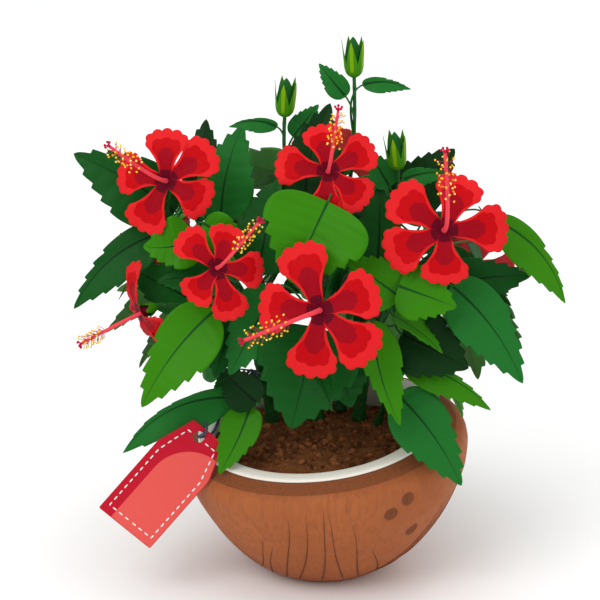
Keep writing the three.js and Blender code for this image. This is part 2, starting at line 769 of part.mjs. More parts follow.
// Leaves spiral round a back shoot, lean out from it and droop, the more so near the crown's top.
function backLeaf(shoot, i, twig) {
  const outward = direction(shoot.heading, shoot.rise);
  const [roll] = across(outward, GOLDEN_ANGLE * i + 360 * chance(shoot.seed, 0));
  const way = outward.clone().multiplyScalar(0.5).add(roll).addScaledVector(UP, -0.45).normalize();
  const length = 84 + 26 * chance(shoot.seed, i + 1);
  const ends = drooping(twig.getPoint(0.12 + (0.8 * i) / (BACK_LEAVES - 1)), way, BACK_STALK, length);
  const width = 58 + 14 * chance(shoot.seed, i + 30);
  const bow = 8 * (chance(shoot.seed, i + 50) - 0.5);
  return { ...ends, width, bow, face: outward.clone().setZ(0.5), free: outward };
}

// Small leaves point back and to all heights from a front shoot, and turn their faces to the sides.
function sideLeaf(seed, i, twig) {
  const from = twig.getPoint(0.15 + (0.75 * i) / (SIDE_LEAVES - 1));
  const outer = Math.sign(from.x - CROWN.middle[0]);
  const roll = degrees(GOLDEN_ANGLE * i + 360 * chance(seed, 70));
  const way = V(0.35 * outer, 0.5 + Math.cos(roll), Math.sin(roll)).normalize();
  const ends = drooping(from, way, SIDE_STALK, 58 + 20 * chance(seed, i + 71));
  const width = 38 + 12 * chance(seed, i + 80);
  return { ...ends, width, bow: 0, face: V(outer, -0.3, 0.3), free: V(0.5 * outer, 0.5, 0), small: true };
}

// The leaves and the flower of a back shoot, in the same terms as a front one's
function backShoot(shoot) {
  const outward = direction(shoot.heading, shoot.rise);
  const end = limbCurve(shoot.bough).getPoint(1).addScaledVector(outward, shoot.reach);
  const twig = twigCurve(shoot.bough, end);
  const made = { bough: shoot.bough, end: end.toArray() };
  made.grown = Array.from({ length: BACK_LEAVES }, (_, i) => backLeaf(shoot, i, twig));
  if (shoot.bloom === "bud") made.bud = 1;
  if (shoot.bloom === "flower") {
    const facing = outward.clone().addScaledVector(UP, 0.1).normalize();
    const centre = end.clone().addScaledVector(facing, 0.32 * BACK_FLOWER_RADIUS);
    const [sideways] = across(facing, 360 * chance(shoot.seed, 60));
    const spin = 72 * chance(shoot.seed, 61);
    made.flower = {
      centre: centre.toArray(),
      facing: facing.toArray(),
      radius: BACK_FLOWER_RADIUS,
      petals: Array.from({ length: PETALS }, (_, i) => [spin + (360 / PETALS) * i, 1]),
      column: centre.clone().addScaledVector(facing, 52).addScaledVector(sideways, 26).toArray(),
    };
  }
  return made;
}

// How far forwards or back a leaf is moved when it would touch another piece
const SHIFTS = [0, 5, -5, 10, -10, 16, -16, 23, -23, 31, -31, 40, -40, 50, -50];

const above = (a, b, k) => a.min[k] - CLEARANCE > b.max[k];
const boxesApart = (a, b) => [0, 1, 2].some((k) => above(a, b, k) || above(b, a, k));

function clearOf(solid, others) {
  const box = solid.boundingBox();
  return others.every((o) => boxesApart(box, o.boundingBox()) || solid.minGap(o, 2 * CLEARANCE) >= CLEARANCE);
}

// The twig of a shoot with its flower or bud
function shootCore(shoot) {
  const end = at(shoot.end);
  const twig = twigCurve(shoot.bough, end);
  const thick = Math.min(shoot.bud ? TWIG_RADII.bud : TWIG_RADII.thick, limbRadii(shoot.bough)[1]);
  const thin = Math.min(thick, TWIG_RADII.thin);
  const parts = [tube(twig, (t) => THREE.MathUtils.lerp(thick, thin, t), TWIG_SIDES, TWIG_STEPS)];
  const along = twig.getTangent(1);
  let bloom = [];
  if (shoot.flower) {
    const [centre, facing, column] = ["centre", "facing", "column"].map((key) => at(shoot.flower[key]));
    const flower = { ...shoot.flower, centre, facing: facing.normalize(), column };
    bloom = flowerSolids(flower);
    const back = flower.centre.clone().addScaledVector(flower.facing, -0.3 * flower.radius);
    const neck = new THREE.LineCurve3(end.clone().addScaledVector(along, -3), back);
    parts.push(tube(neck, () => thin, TWIG_SIDES, 1));
  }
  if (shoot.bud) bloom = budSolids(end.clone().addScaledVector(along, -2), along, shoot.bud);
  const own = bloom.length ? [wasm.Manifold.union(bloom)] : [];
  return { parts: [...parts, ...bloom], own, twig, blades: [] };
}

// A leaf at the first shift where it touches nothing, or null
function placeLeaf(leaf, core, others) {
  const own = [...core.own, ...core.blades];
  for (const shift of SHIFTS) {
    const moved = { ...leaf, base: leaf.base.clone(), tip: leaf.tip.clone() };
    moved.base.addScaledVector(leaf.free, shift);
    moved.tip.addScaledVector(leaf.free, shift);
    const solid = leafSolid(moved);
    const blade = leafSolid(moved, true);
    if (clearOf(solid, others) && clearOf(blade, own)) return { solid };
  }
  return null;
}

function makeShoots(limbs, fixed) {
  const shoots = { ...SHOOTS };
  for (const [name, shoot] of Object.entries(BACK_SHOOTS)) shoots[name] = backShoot(shoot);
  const cores = {};
  for (const [name, shoot] of Object.entries(shoots)) {
    cores[name] = shootCore(shoot);
    cores[name].solid = wasm.Manifold.union(cores[name].parts);
  }
  const addLeaves = (name, leaves) => {
    const core = cores[name];
    for (const leaf of leaves) {
      const rest = Object.entries(cores).filter(([other]) => other !== name);
      const others = [...limbs, ...fixed, ...rest.flatMap(([, c]) => [c.solid, ...c.blades])];
      const placed = placeLeaf(leaf, core, others);
      if (!placed) continue;
      core.parts.push(placed.solid);
      core.blades.push(placed.solid);
    }
  };
  for (const [name, shoot] of Object.entries(shoots)) {
    addLeaves(name, shoot.grown || shoot.leaves.map((row) => frontLeaf(row, cores[name].twig)));
  }
  Object.entries(SHOOTS).forEach(([name, shoot], k) => {
    if (shoot.bud) return;
    addLeaves(name, Array.from({ length: SIDE_LEAVES }, (_, i) => sideLeaf(k + 1, i, cores[name].twig)));
  });
  const joined = (core) => largest(wasm.Manifold.union(core.parts)).simplify(SIMPLIFY);
  return Object.fromEntries(Object.entries(cores).map(([name, core]) => [name, joined(core)]));
}

// Swing tag and its cord

const TAG = { length: 128, width: 66, thick: 1.6 };
const TAG_CORNER = { across: 13.5, down: 38.5 }; // what is cut off each upper corner
const TAG_HOLE = { radius: 6.2, down: 10, aside: -4.5 };
const TAG_TOP = [-125, -92, 175]; // the middle of the tag's upper end
const TAG_LEAN = 41.5; // degrees from the upright, to the left
const TAG_TILT = 8; // degrees that its lower end stands out
const CORD_RADIUS = 1.6;

// A point of the tag in its own plane: across it, down from its upper end, and out from its middle
function onTag(right, down, out) {
  const place = V(right, -down, out).applyAxisAngle(V(1, 0, 0), degrees(90 - TAG_TILT));
  return place.applyAxisAngle(V(0, 1, 0), degrees(TAG_LEAN)).add(at(TAG_TOP));
}

// A rectangle whose two upper corners are cut off, with a round hole
function makeTag() {
  const half = TAG.width / 2;
  const shape = new THREE.Shape();
  shape.moveTo(-half, -TAG.length);
  shape.lineTo(half, -TAG.length);
  shape.lineTo(half, -TAG_CORNER.down);
  shape.lineTo(half - TAG_CORNER.across, 0);
  shape.lineTo(-half + TAG_CORNER.across, 0);
  shape.lineTo(-half, -TAG_CORNER.down);
  shape.closePath();
  const hole = new THREE.Path();
  hole.absarc(TAG_HOLE.aside, -TAG_HOLE.down, TAG_HOLE.radius, 0, 2 * Math.PI, true);
  shape.holes.push(hole);
  const card = new THREE.ExtrudeGeometry(shape, { depth: TAG.thick, bevelEnabled: false, curveSegments: 8 });
  const p = card.attributes.position;
  for (let i = 0; i < p.count; i++) {
    const place = onTag(p.getX(i), -p.getY(i), p.getZ(i) - TAG.thick / 2);
    p.setXYZ(i, place.x, place.y, place.z);
  }
  return solidOf(card);
}

// A closed loop through the tag's hole and round the low left bough, which carries the tag
function makeCord() {
  const bough = boughCurve(BOUGHS.bough_low_left);
  const held = bough.getPoint(0.7);
  const way = bough.getTangent(0.7);
  const round = (clock, far) => held.clone().addScaledVector(across(way.clone().negate(), clock)[0], far);
  const path = [
    onTag(TAG_HOLE.aside, TAG_HOLE.down, 0),
    onTag(TAG_HOLE.aside + 1, 1, 4.5),
    V(-127, -72, 189),
    V(-112, -52, 198),
    round(255, 7),
    round(0, 5.7),
    round(105, 7),
    V(-103, -44, 200),
    V(-112, -66, 188),
    onTag(TAG_HOLE.aside + 9, 0, -6),
  ];
  const loop = new THREE.CatmullRomCurve3(path, true, "centripetal");
  return solidOf(new THREE.TubeGeometry(loop, 40, CORD_RADIUS, 5, true));
}

const shell = makeShell();
const lining = makeLining();
const soil = makeSoil();
const tag = makeTag();
const cord = makeCord();
const limbs = makeLimbs();
const shoots = makeShoots(Object.values(limbs), [shell, lining, soil, tag, cord]);

function groupOf(name, meshes) {
  const group = new THREE.Group();
  group.name = name;
  group.add(...meshes);
  return group;
}

const plant = groupOf("hibiscus", [
  groupOf("pot", [
    meshOf("pot_shell", shell, FINISH.shell),
    meshOf("pot_lining", lining, FINISH.lining),
    meshOf("soil", soil, FINISH.soil),
  ]),
  groupOf("limbs", Object.entries(limbs).map(([name, solid]) => meshOf(name, solid, FINISH.stem))),
  groupOf("foliage", Object.entries(shoots).map(([name, solid]) => meshOf(name, solid, FINISH.leaf))),
  groupOf("swing", [meshOf("tag", tag, FINISH.tag), meshOf("tag_cord", cord, FINISH.cord)]),
]);

export default plant;
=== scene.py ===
# A potted hibiscus shrub: the looks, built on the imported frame. Lengths are in millimetres up to make(),
# which turns them into metres. The rule that grows the shoots is the one that made the solids, carried to
# finer shapes.

import math

import bpy
import numpy as np
from mathutils import Matrix, Vector, noise


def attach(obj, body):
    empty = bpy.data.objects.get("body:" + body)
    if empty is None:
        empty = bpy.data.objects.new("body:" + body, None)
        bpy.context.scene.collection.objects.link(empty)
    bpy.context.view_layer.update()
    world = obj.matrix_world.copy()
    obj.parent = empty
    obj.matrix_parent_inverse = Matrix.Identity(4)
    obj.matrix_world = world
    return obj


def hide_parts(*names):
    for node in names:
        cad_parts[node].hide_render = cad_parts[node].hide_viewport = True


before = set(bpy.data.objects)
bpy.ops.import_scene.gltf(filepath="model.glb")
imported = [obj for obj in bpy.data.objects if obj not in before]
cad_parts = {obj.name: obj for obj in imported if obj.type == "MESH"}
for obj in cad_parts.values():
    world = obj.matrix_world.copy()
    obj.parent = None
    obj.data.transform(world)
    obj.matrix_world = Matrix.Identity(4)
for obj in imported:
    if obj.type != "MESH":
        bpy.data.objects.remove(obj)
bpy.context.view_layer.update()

MM = 0.001
UP = np.array([0.0, 0.0, 1.0])
CLEARANCE = 0.4

# Camera: the photograph's view

CAMERA_TARGET, CAMERA_DISTANCE, CAMERA_RISE = Vector((-0.035, 0, 0.2804)), 4.0, 20
LENS, SENSOR = 240, 36


def put(name, data):
    """A new object in the scene"""
    thing = bpy.data.objects.new(name, data)
    bpy.context.scene.collection.objects.link(thing)
    return thing


def make_camera():
    data = bpy.data.cameras.new("camera")
    data.lens, data.sensor_width = LENS, SENSOR
    camera, rise = put("camera", data), math.radians(CAMERA_RISE)
    camera.location = CAMERA_TARGET + CAMERA_DISTANCE * Vector((0, -math.cos(rise), math.sin(rise)))
    camera.rotation_euler = (math.radians(90) - rise, 0, 0)
    bpy.context.scene.camera = camera


make_camera()

# Small tools


def unit(v):
    return v / np.linalg.norm(v)


def vec(*v):
    return np.array(v, float)


def direction(heading, rise):
    h, r = math.radians(heading), math.radians(rise)
    return vec(math.cos(h) * math.cos(r), math.sin(h) * math.cos(r), math.sin(r))


def circle(count):
    return [2 * math.pi * j / count for j in range(count)]


def swing(a, b, angle):
    """The direction a, turned towards b"""
    return math.cos(angle) * a + math.sin(angle) * b


def across(facing, clock):
    """The direction of a clock's hand on a dial that faces the viewer, and the one square to it"""
    top = unit(UP - facing * UP.dot(facing))
    right, a = np.cross(top, facing), math.radians(clock)
    return swing(top, right, a), swing(right, -top, a)


def chance(seed, step):
    s = math.sin(seed * 12.9898 + step * 78.233) * 43758.5453
    return s - math.floor(s)


def drawn(span, seed, step):
    """A smallest value and a share of what chance may add to it"""
    return span[0] + span[1] * chance(seed, step)


def rough(p, scale, seed=0.0):
    """Smooth noise from -1 to 1 at a point in millimetres"""
    return noise.noise(Vector((p[0] / scale + seed, p[1] / scale, p[2] / scale)))


def bend(points, t):
    """A point of the quadratic curve through three control points"""
    a, b, c = points
    t = np.asarray(t, float)[..., None]
    return (1 - t) ** 2 * a + 2 * t * (1 - t) * b + t**2 * c


def slope(points, t):
    a, b, c = points
    t = np.asarray(t, float)[..., None]
    d = 2 * (1 - t) * (b - a) + 2 * t * (c - b)
    return d / np.linalg.norm(d, axis=-1, keepdims=True)


def spaced(points, shares):
    """Points at shares of the length of a row of points, and that length"""
    steps = np.concatenate([[0], np.cumsum(np.linalg.norm(np.diff(points, axis=0), axis=1))])
    at = np.asarray(shares) * steps[-1]
    return np.stack([np.interp(at, steps, places) for places in np.transpose(points)], axis=1), steps[-1]


def knots(share):
    """Narrow rises, one in each whole step of share"""
    return np.exp(-((share % 1 - 0.5) ** 2) / 0.004)


def grid_faces(rows, columns, around=False):
    faces = []
    for i in range(rows - 1):
        for j in range(columns if around else columns - 1):
            k = (j + 1) % columns
            faces.append((i * columns + j, i * columns + k, (i + 1) * columns + k, (i + 1) * columns + j))
    return faces


class Piece:
    """Gathers faces of one kind into one object. Each face is marked with its look's number or name."""

    def __init__(self, name, *names):
        self.name, self.looks = name, [looks[n] for n in names]
        self.mark = {n: i for i, n in enumerate(names)}
        self.places, self.faces, self.marks = [], [], []

    def add(self, places, faces, marks=0):
        start = len(self.places)
        self.places.extend(map(tuple, places))
        self.faces.extend(tuple(start + i for i in f) for f in faces)
        if isinstance(marks, (int, str)):
            marks = [self.mark.get(marks, marks)] * len(faces)
        self.marks.extend(marks)

    def wrap(self, rows, marks=0):
        """Faces between rows of points that each close on themselves"""
        rows = np.array(rows)
        self.add(rows.reshape(-1, 3), grid_faces(*rows.shape[:2], around=True), marks)

    def make(self, *nodes, slot=None, smooth=True):
        mesh = bpy.data.meshes.new(self.name)
        mesh.from_pydata([(x * MM, y * MM, z * MM) for x, y, z in self.places], [], self.faces)
        for look in self.looks:
            mesh.materials.append(look)
        mesh.polygons.foreach_set("material_index", self.marks)
        mesh.polygons.foreach_set("use_smooth", [smooth] * len(self.faces))
        mesh.validate()
        thing = put(self.name, mesh)
        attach(thing, "root")
        if nodes:
            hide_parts(*nodes)


def sheet(piece, grid, marks, under, thickness, up=None):
    """A closed sheet below a grid of points, square to the grid or to up, with its own look underneath"""
    rows, columns, _ = grid.shape
    normal = np.cross(np.gradient(grid, axis=1), np.gradient(grid, axis=0)) if up is None else up
    low = grid - normal / np.maximum(np.linalg.norm(normal, axis=-1, keepdims=True), 1e-9) * thickness
    count = rows * columns
    index = np.arange(count).reshape(rows, columns)
    rim = np.concatenate([index[0], index[1:, -1], index[-1, -2::-1], index[-2:0:-1, 0]]).tolist()
    sides = [(b, a, a + count, b + count) for a, b in zip(rim, rim[1:] + rim[:1])]
    top = grid_faces(rows, columns)
    bottom = [tuple(count + i for i in reversed(f)) for f in top]
    above = [piece.mark[marks]] * len(top) if isinstance(marks, str) else marks.reshape(-1).tolist()
    marks = above + [piece.mark[under]] * len(bottom) + [above[-1]] * len(sides)
    piece.add(np.concatenate([grid.reshape(-1, 3), low.reshape(-1, 3)]), top + bottom + sides, marks)


def tube(piece, places, radii, sides, mark=0, relief=None, caps=True):
    """A tube along a row of points. relief gives the change of radius from a point and its angle."""
    places = np.asarray(places, float)
    ways = np.gradient(places, axis=0)
    side = vec(1, 0, 0) if abs(unit(ways[0])[2]) > 0.9 else UP
    points = []
    for p, way, r in zip(places, ways, radii):
        way = unit(way)
        side = unit(side - way * side.dot(way))
        other = np.cross(way, side)
        for a in circle(sides):
            out = swing(side, other, a)
            points.append(p + (r + (relief(p + r * out, a) if relief else 0)) * out)
    faces = grid_faces(len(places), sides, around=True)
    if caps:
        count = len(points)
        points += [places[0], places[-1]]
        for i in range(sides):
            k = (i + 1) % sides
            faces += [(k, i, count), (count - sides + i, count - sides + k, count + 1)]
    piece.add(points, faces, mark)


def ball(piece, centre, radii, mark, sides=8, rings=5, way=UP):
    """A small smooth lump, longer along its way where the second radius is larger"""
    way = unit(way)
    side = unit(np.cross(way, vec(0.3, 0.9, 0.2)))
    other = np.cross(way, side)
    points = [centre - way * radii[1]]
    for i in range(1, rings):
        a = math.pi * i / rings
        for b in circle(sides):
            out = swing(side, other, b)
            points.append(centre + math.sin(a) * radii[0] * out - math.cos(a) * radii[1] * way)
    points.append(centre + way * radii[1])
    last = 1 + (rings - 2) * sides
    faces = [tuple(1 + i for i in f) for f in grid_faces(rings - 1, sides, around=True)]
    for j in range(sides):
        k = (j + 1) % sides
        faces += [(0, 1 + k, 1 + j), (last + j, last + k, len(points) - 1)]
    piece.add(points, faces, mark)


# Looks

looks = {}


def linear(color):
    """A colour as the eye sees it, from 0 to 255, turned into light"""
    shares = (c / 255 for c in color)
    return (*(c / 12.92 if c <= 0.04045 else ((c + 0.055) / 1.055) ** 2.4 for c in shares), 1.0)


class Look:
    """A material, kept in looks under its name"""

    def __init__(self, name, color, roughness, bumps=None, specular=0.3):
        looks[name] = bpy.data.materials.new(name)
        looks[name].use_nodes = True
        self.tree = looks[name].node_tree
        self.shader = self.tree.nodes["Principled BSDF"].inputs
        self.place = self.tree.nodes.new("ShaderNodeTexCoord").outputs["Object"]
        self.feed(self.shader["Base Color"], linear(color))
        self.feed(self.shader["Roughness"], roughness)
        self.feed(self.shader["Specular IOR Level"], specular)
        if bumps:
            self.bump(*bumps)

    def feed(self, socket, value):
        if isinstance(value, bpy.types.NodeSocket):
            self.tree.links.new(value, socket)
        else:
            socket.default_value = value

    def node(self, kind, output, values):
        """One output of a new node whose inputs are set or linked"""
        node = self.tree.nodes.new("ShaderNode" + kind)
        if kind == "Mix":
            node.data_type = "RGBA"
        for key, value in values.items():
            self.feed(node.inputs[key], value)
        return node.outputs[output]

    def noise(self, scale, detail=3.0, stretch=None):
        place = self.place
        if stretch:
            place = self.node("Mapping", "Vector", {"Vector": place, "Scale": stretch})
        values = {"Vector": place, "Scale": scale, "Detail": detail, "Roughness": 0.55}
        return self.node("TexNoise", "Fac", values)

    def range(self, source, low, high, from_low=0.3, from_high=0.7):
        values = {"Value": source, "From Min": from_low, "From Max": from_high, "To Min": low, "To Max": high}
        return self.node("MapRange", "Result", values)

    def blend(self, base, over, scale, detail, low, high, stretch=None):
        """Lays a colour over the base where noise goes from low to high. The mix can be the next base."""
        share = self.range(self.noise(scale, detail, stretch), 0, 1, low, high)
        first, second = 6, 7
        mixed = self.node("Mix", 2, {0: share, first: base, second: linear(over)})
        self.feed(self.shader["Base Color"], mixed)
        return mixed

    def bump(self, scale, strength, distance=0.001, stretch=None, detail=4.0):
        values = {"Strength": strength, "Distance": distance, "Height": self.noise(scale, detail, stretch)}
        if self.shader["Normal"].is_linked:
            values["Normal"] = self.shader["Normal"].links[0].from_socket
        self.feed(self.shader["Normal"], self.node("Bump", "Normal", values))

    def roughen(self, scale, low, high):
        self.feed(self.shader["Roughness"], self.range(self.noise(scale), low, high))


TONES = {"bright": (50, 122, 2), "mid": (26, 104, 36), "dark": (14, 78, 22), "deep": (8, 50, 12)}
RIBS = {"bright": (16, 74, 22), "mid": (10, 62, 18), "dark": (6, 42, 10), "deep": (4, 26, 6)}
LEAFY = {
    "leaf_underside": ((74, 128, 62), 0.6),
    "leaf_stalk": ((30, 100, 34), 0.5),
    "sepal": ((58, 130, 3), 0.5),
    "sepal_light": ((118, 160, 10), 0.5),
    "bud_body": ((22, 86, 28), 0.5),
}
BLOOM = {
    "petal_throat": ((92, 0, 24), 0.55),
    "petal_inner": ((150, 0, 20), 0.55),
    "petal_middle": ((184, 0, 10), 0.55),
    "petal_edge": ((214, 30, 34), 0.55),
    "petal_back": ((236, 66, 72), 0.55),
    "column": ((238, 70, 84), 0.45),
    "filament": ((160, 50, 80), 0.5),
    "anther": ((255, 190, 20), 0.7),
    "pollen": ((255, 220, 100), 0.8),
    "stigma": ((190, 10, 60), 0.6),
}
BARKS = {"bark": ((14, 62, 18), (28, 96, 34)), "twig_bark": ((20, 82, 26), (36, 112, 44))}
BARK_DOTS = (120, 140, 84)


def leaf_look(name, color, roughness):
    Look(name, color, roughness, (420, 0.25, 0.0004), 0.1).roughen(160, roughness - 0.06, roughness + 0.1)


def make_looks():
    for tone in TONES:
        leaf_look("leaf_" + tone, TONES[tone], 0.45)
        leaf_look("rib_" + tone, RIBS[tone], 0.5)
    for name, (color, roughness) in LEAFY.items():
        leaf_look(name, color, roughness)
    for name, (color, roughness) in BLOOM.items():
        look = Look(name, color, roughness, (700, 0.2, 0.0003), 0.08)
        look.roughen(220, roughness - 0.05, roughness + 0.1)
    for name, (dark, light) in BARKS.items():
        look = Look(name, dark, 0.55, specular=0.2)
        streaked = look.blend(linear(dark), light, 60, 4, 0.35, 0.75, (4, 4, 0.6))
        look.blend(streaked, BARK_DOTS, 700, 1, 0.68, 0.74)
        look.bump(500, 0.35, 0.0006, (1, 1, 0.25))
        look.roughen(90, 0.45, 0.65)


make_looks()

# Limbs

SOIL_TOP = 136
# foot, way point, tip, and the radii at foot and tip
STEMS = {
    "stem_left": ((-63, 38), (-74, 18, 205), (-90, 0, 262), (5.4, 4.2)),
    "stem_centre": ((-18, 40), (-14, 34, 240), (-10, 14, 316), (5.4, 4.2)),
    "stem_right": ((25, 42), (34, 30, 225), (52, 4, 288), (5.4, 4.2)),
    "stem_far_right": ((44, 26), (54, 4, 180), (68, -32, 216), (3.4, 2.8)),
    "stem_back_left": ((-44, 58), (-60, 74, 220), (-80, 76, 288), (4.8, 3.8)),
    "stem_back_right": ((6, 64), (20, 84, 225), (46, 82, 284), (4.8, 3.8)),
}
# stem, share of its length, way point, tip, and the radii
BOUGHS = {
    "bough_upper_left": ("stem_left", 1, (-108, -4, 330), (-140, -20, 378), (4, 3.2)),
    "bough_left": ("stem_left", 1, (-104, -34, 284), (-140, -60, 296), (3.4, 2.8)),
    "bough_centre_left": ("stem_left", 1, (-84, -34, 290), (-96, -68, 322), (3.2, 2.7)),
    "bough_low_left": ("stem_left", 0.42, (-84, -8, 208), (-86, -44, 211), (3, 2.6)),
    "bough_front": ("stem_centre", 1, (-14, -36, 304), (-15, -84, 290), (3.6, 3)),
    "bough_top": ("stem_centre", 1, (-12, -2, 370), (-10, -26, 400), (3.6, 3)),
    "bough_bud_left": ("stem_centre", 1, (-40, 14, 360), (-48, -4, 412), (3, 2.2)),
    "bough_bud_top": ("stem_centre", 1, (12, 26, 360), (17, 10, 425), (2.6, 2)),
    "bough_right": ("stem_right", 1, (80, -14, 318), (100, -50, 350), (3.8, 3.2)),
    "bough_bud_right": ("stem_right", 1, (54, 0, 335), (60, -24, 372), (2.8, 2.2)),
    "bough_right_low": ("stem_right", 1, (50, -44, 290), (58, -80, 308), (3.2, 2.8)),
    "bough_back_high_left": ("stem_back_left", 1, (-96, 68, 326), (-112, 56, 344), (3.4, 2.8)),
    "bough_back_left": ("stem_back_left", 1, (-104, 82, 282), (-114, 82, 278), (3.2, 2.7)),
    "bough_back_low_left": ("stem_back_left", 1, (-82, 112, 260), (-84, 134, 252), (3, 2.6)),
    "bough_back_top": ("stem_back_right", 1, (16, 92, 330), (-4, 96, 352), (3.4, 2.8)),
    "bough_back_middle": ("stem_back_left", 0.8, (-54, 66, 296), (-44, 58, 314), (3, 2.6)),
    "bough_back_right": ("stem_back_right", 1, (88, 74, 284), (108, 62, 284), (3.2, 2.7)),
    "bough_back_high_right": ("stem_back_right", 1, (66, 66, 314), (82, 50, 330), (3, 2.6)),
    "bough_back_low_right": ("stem_back_right", 1, (44, 122, 258), (46, 140, 246), (3, 2.6)),
}
ROOT_FLARE, JOINT_SWELL = 0.45, 0.13
RIDGES, RIDGE_RISE, LUMP_RISE, GRAIN_RISE = 7, 0.035, 0.07, 0.05
JOINT_SPACING, LIMB_STEP, LIMB_SIDES = 34, 2.4, 18


def limb_curve(name):
    if name in STEMS:
        (x, y), by, tip, _ = STEMS[name]
        return [vec(x, y, SOIL_TOP + CLEARANCE), vec(*by), vec(*tip)]
    stem, along, by, tip, _ = BOUGHS[name]
    return [bend(limb_curve(stem), along), vec(*by), vec(*tip)]


def limb_radii(name):
    return STEMS[name][-1] if name in STEMS else BOUGHS[name][-1]


def bark_relief(radius):
    """Long ridges and small lumps"""

    def relief(p, angle):
        ridges = RIDGE_RISE * math.sin(RIDGES * angle + p[2] / 24) * radius
        lumps = LUMP_RISE * radius * rough(p * vec(1, 1, 0.3), 2.6)
        return ridges + lumps + GRAIN_RISE * radius * rough(p, 1.2)

    return relief


def make_limbs():
    for name in [*STEMS, *BOUGHS]:
        curve = limb_curve(name)
        thick, thin = limb_radii(name)
        length = np.linalg.norm(curve[2] - curve[0])
        start, flare = (0, ROOT_FLARE) if name in STEMS else (0.3 * thick / length, 0)
        t = start + (1 - start) * np.linspace(0, 1, max(int(length / LIMB_STEP), 10))
        joints = 1 + JOINT_SWELL * knots(t * length / JOINT_SPACING + 0.4)
        radii = (thick + (thin - thick) * t) * (1 + flare * np.exp(-14 * t)) * joints
        piece = Piece("bark_of_" + name, "bark")
        tube(piece, bend(curve, t), radii, LIMB_SIDES, relief=bark_relief(thick))
        piece.make(name, slot="bark")


make_limbs()

# Shoots, by the same rule as the solids

FRONT = direction(-90, 20)
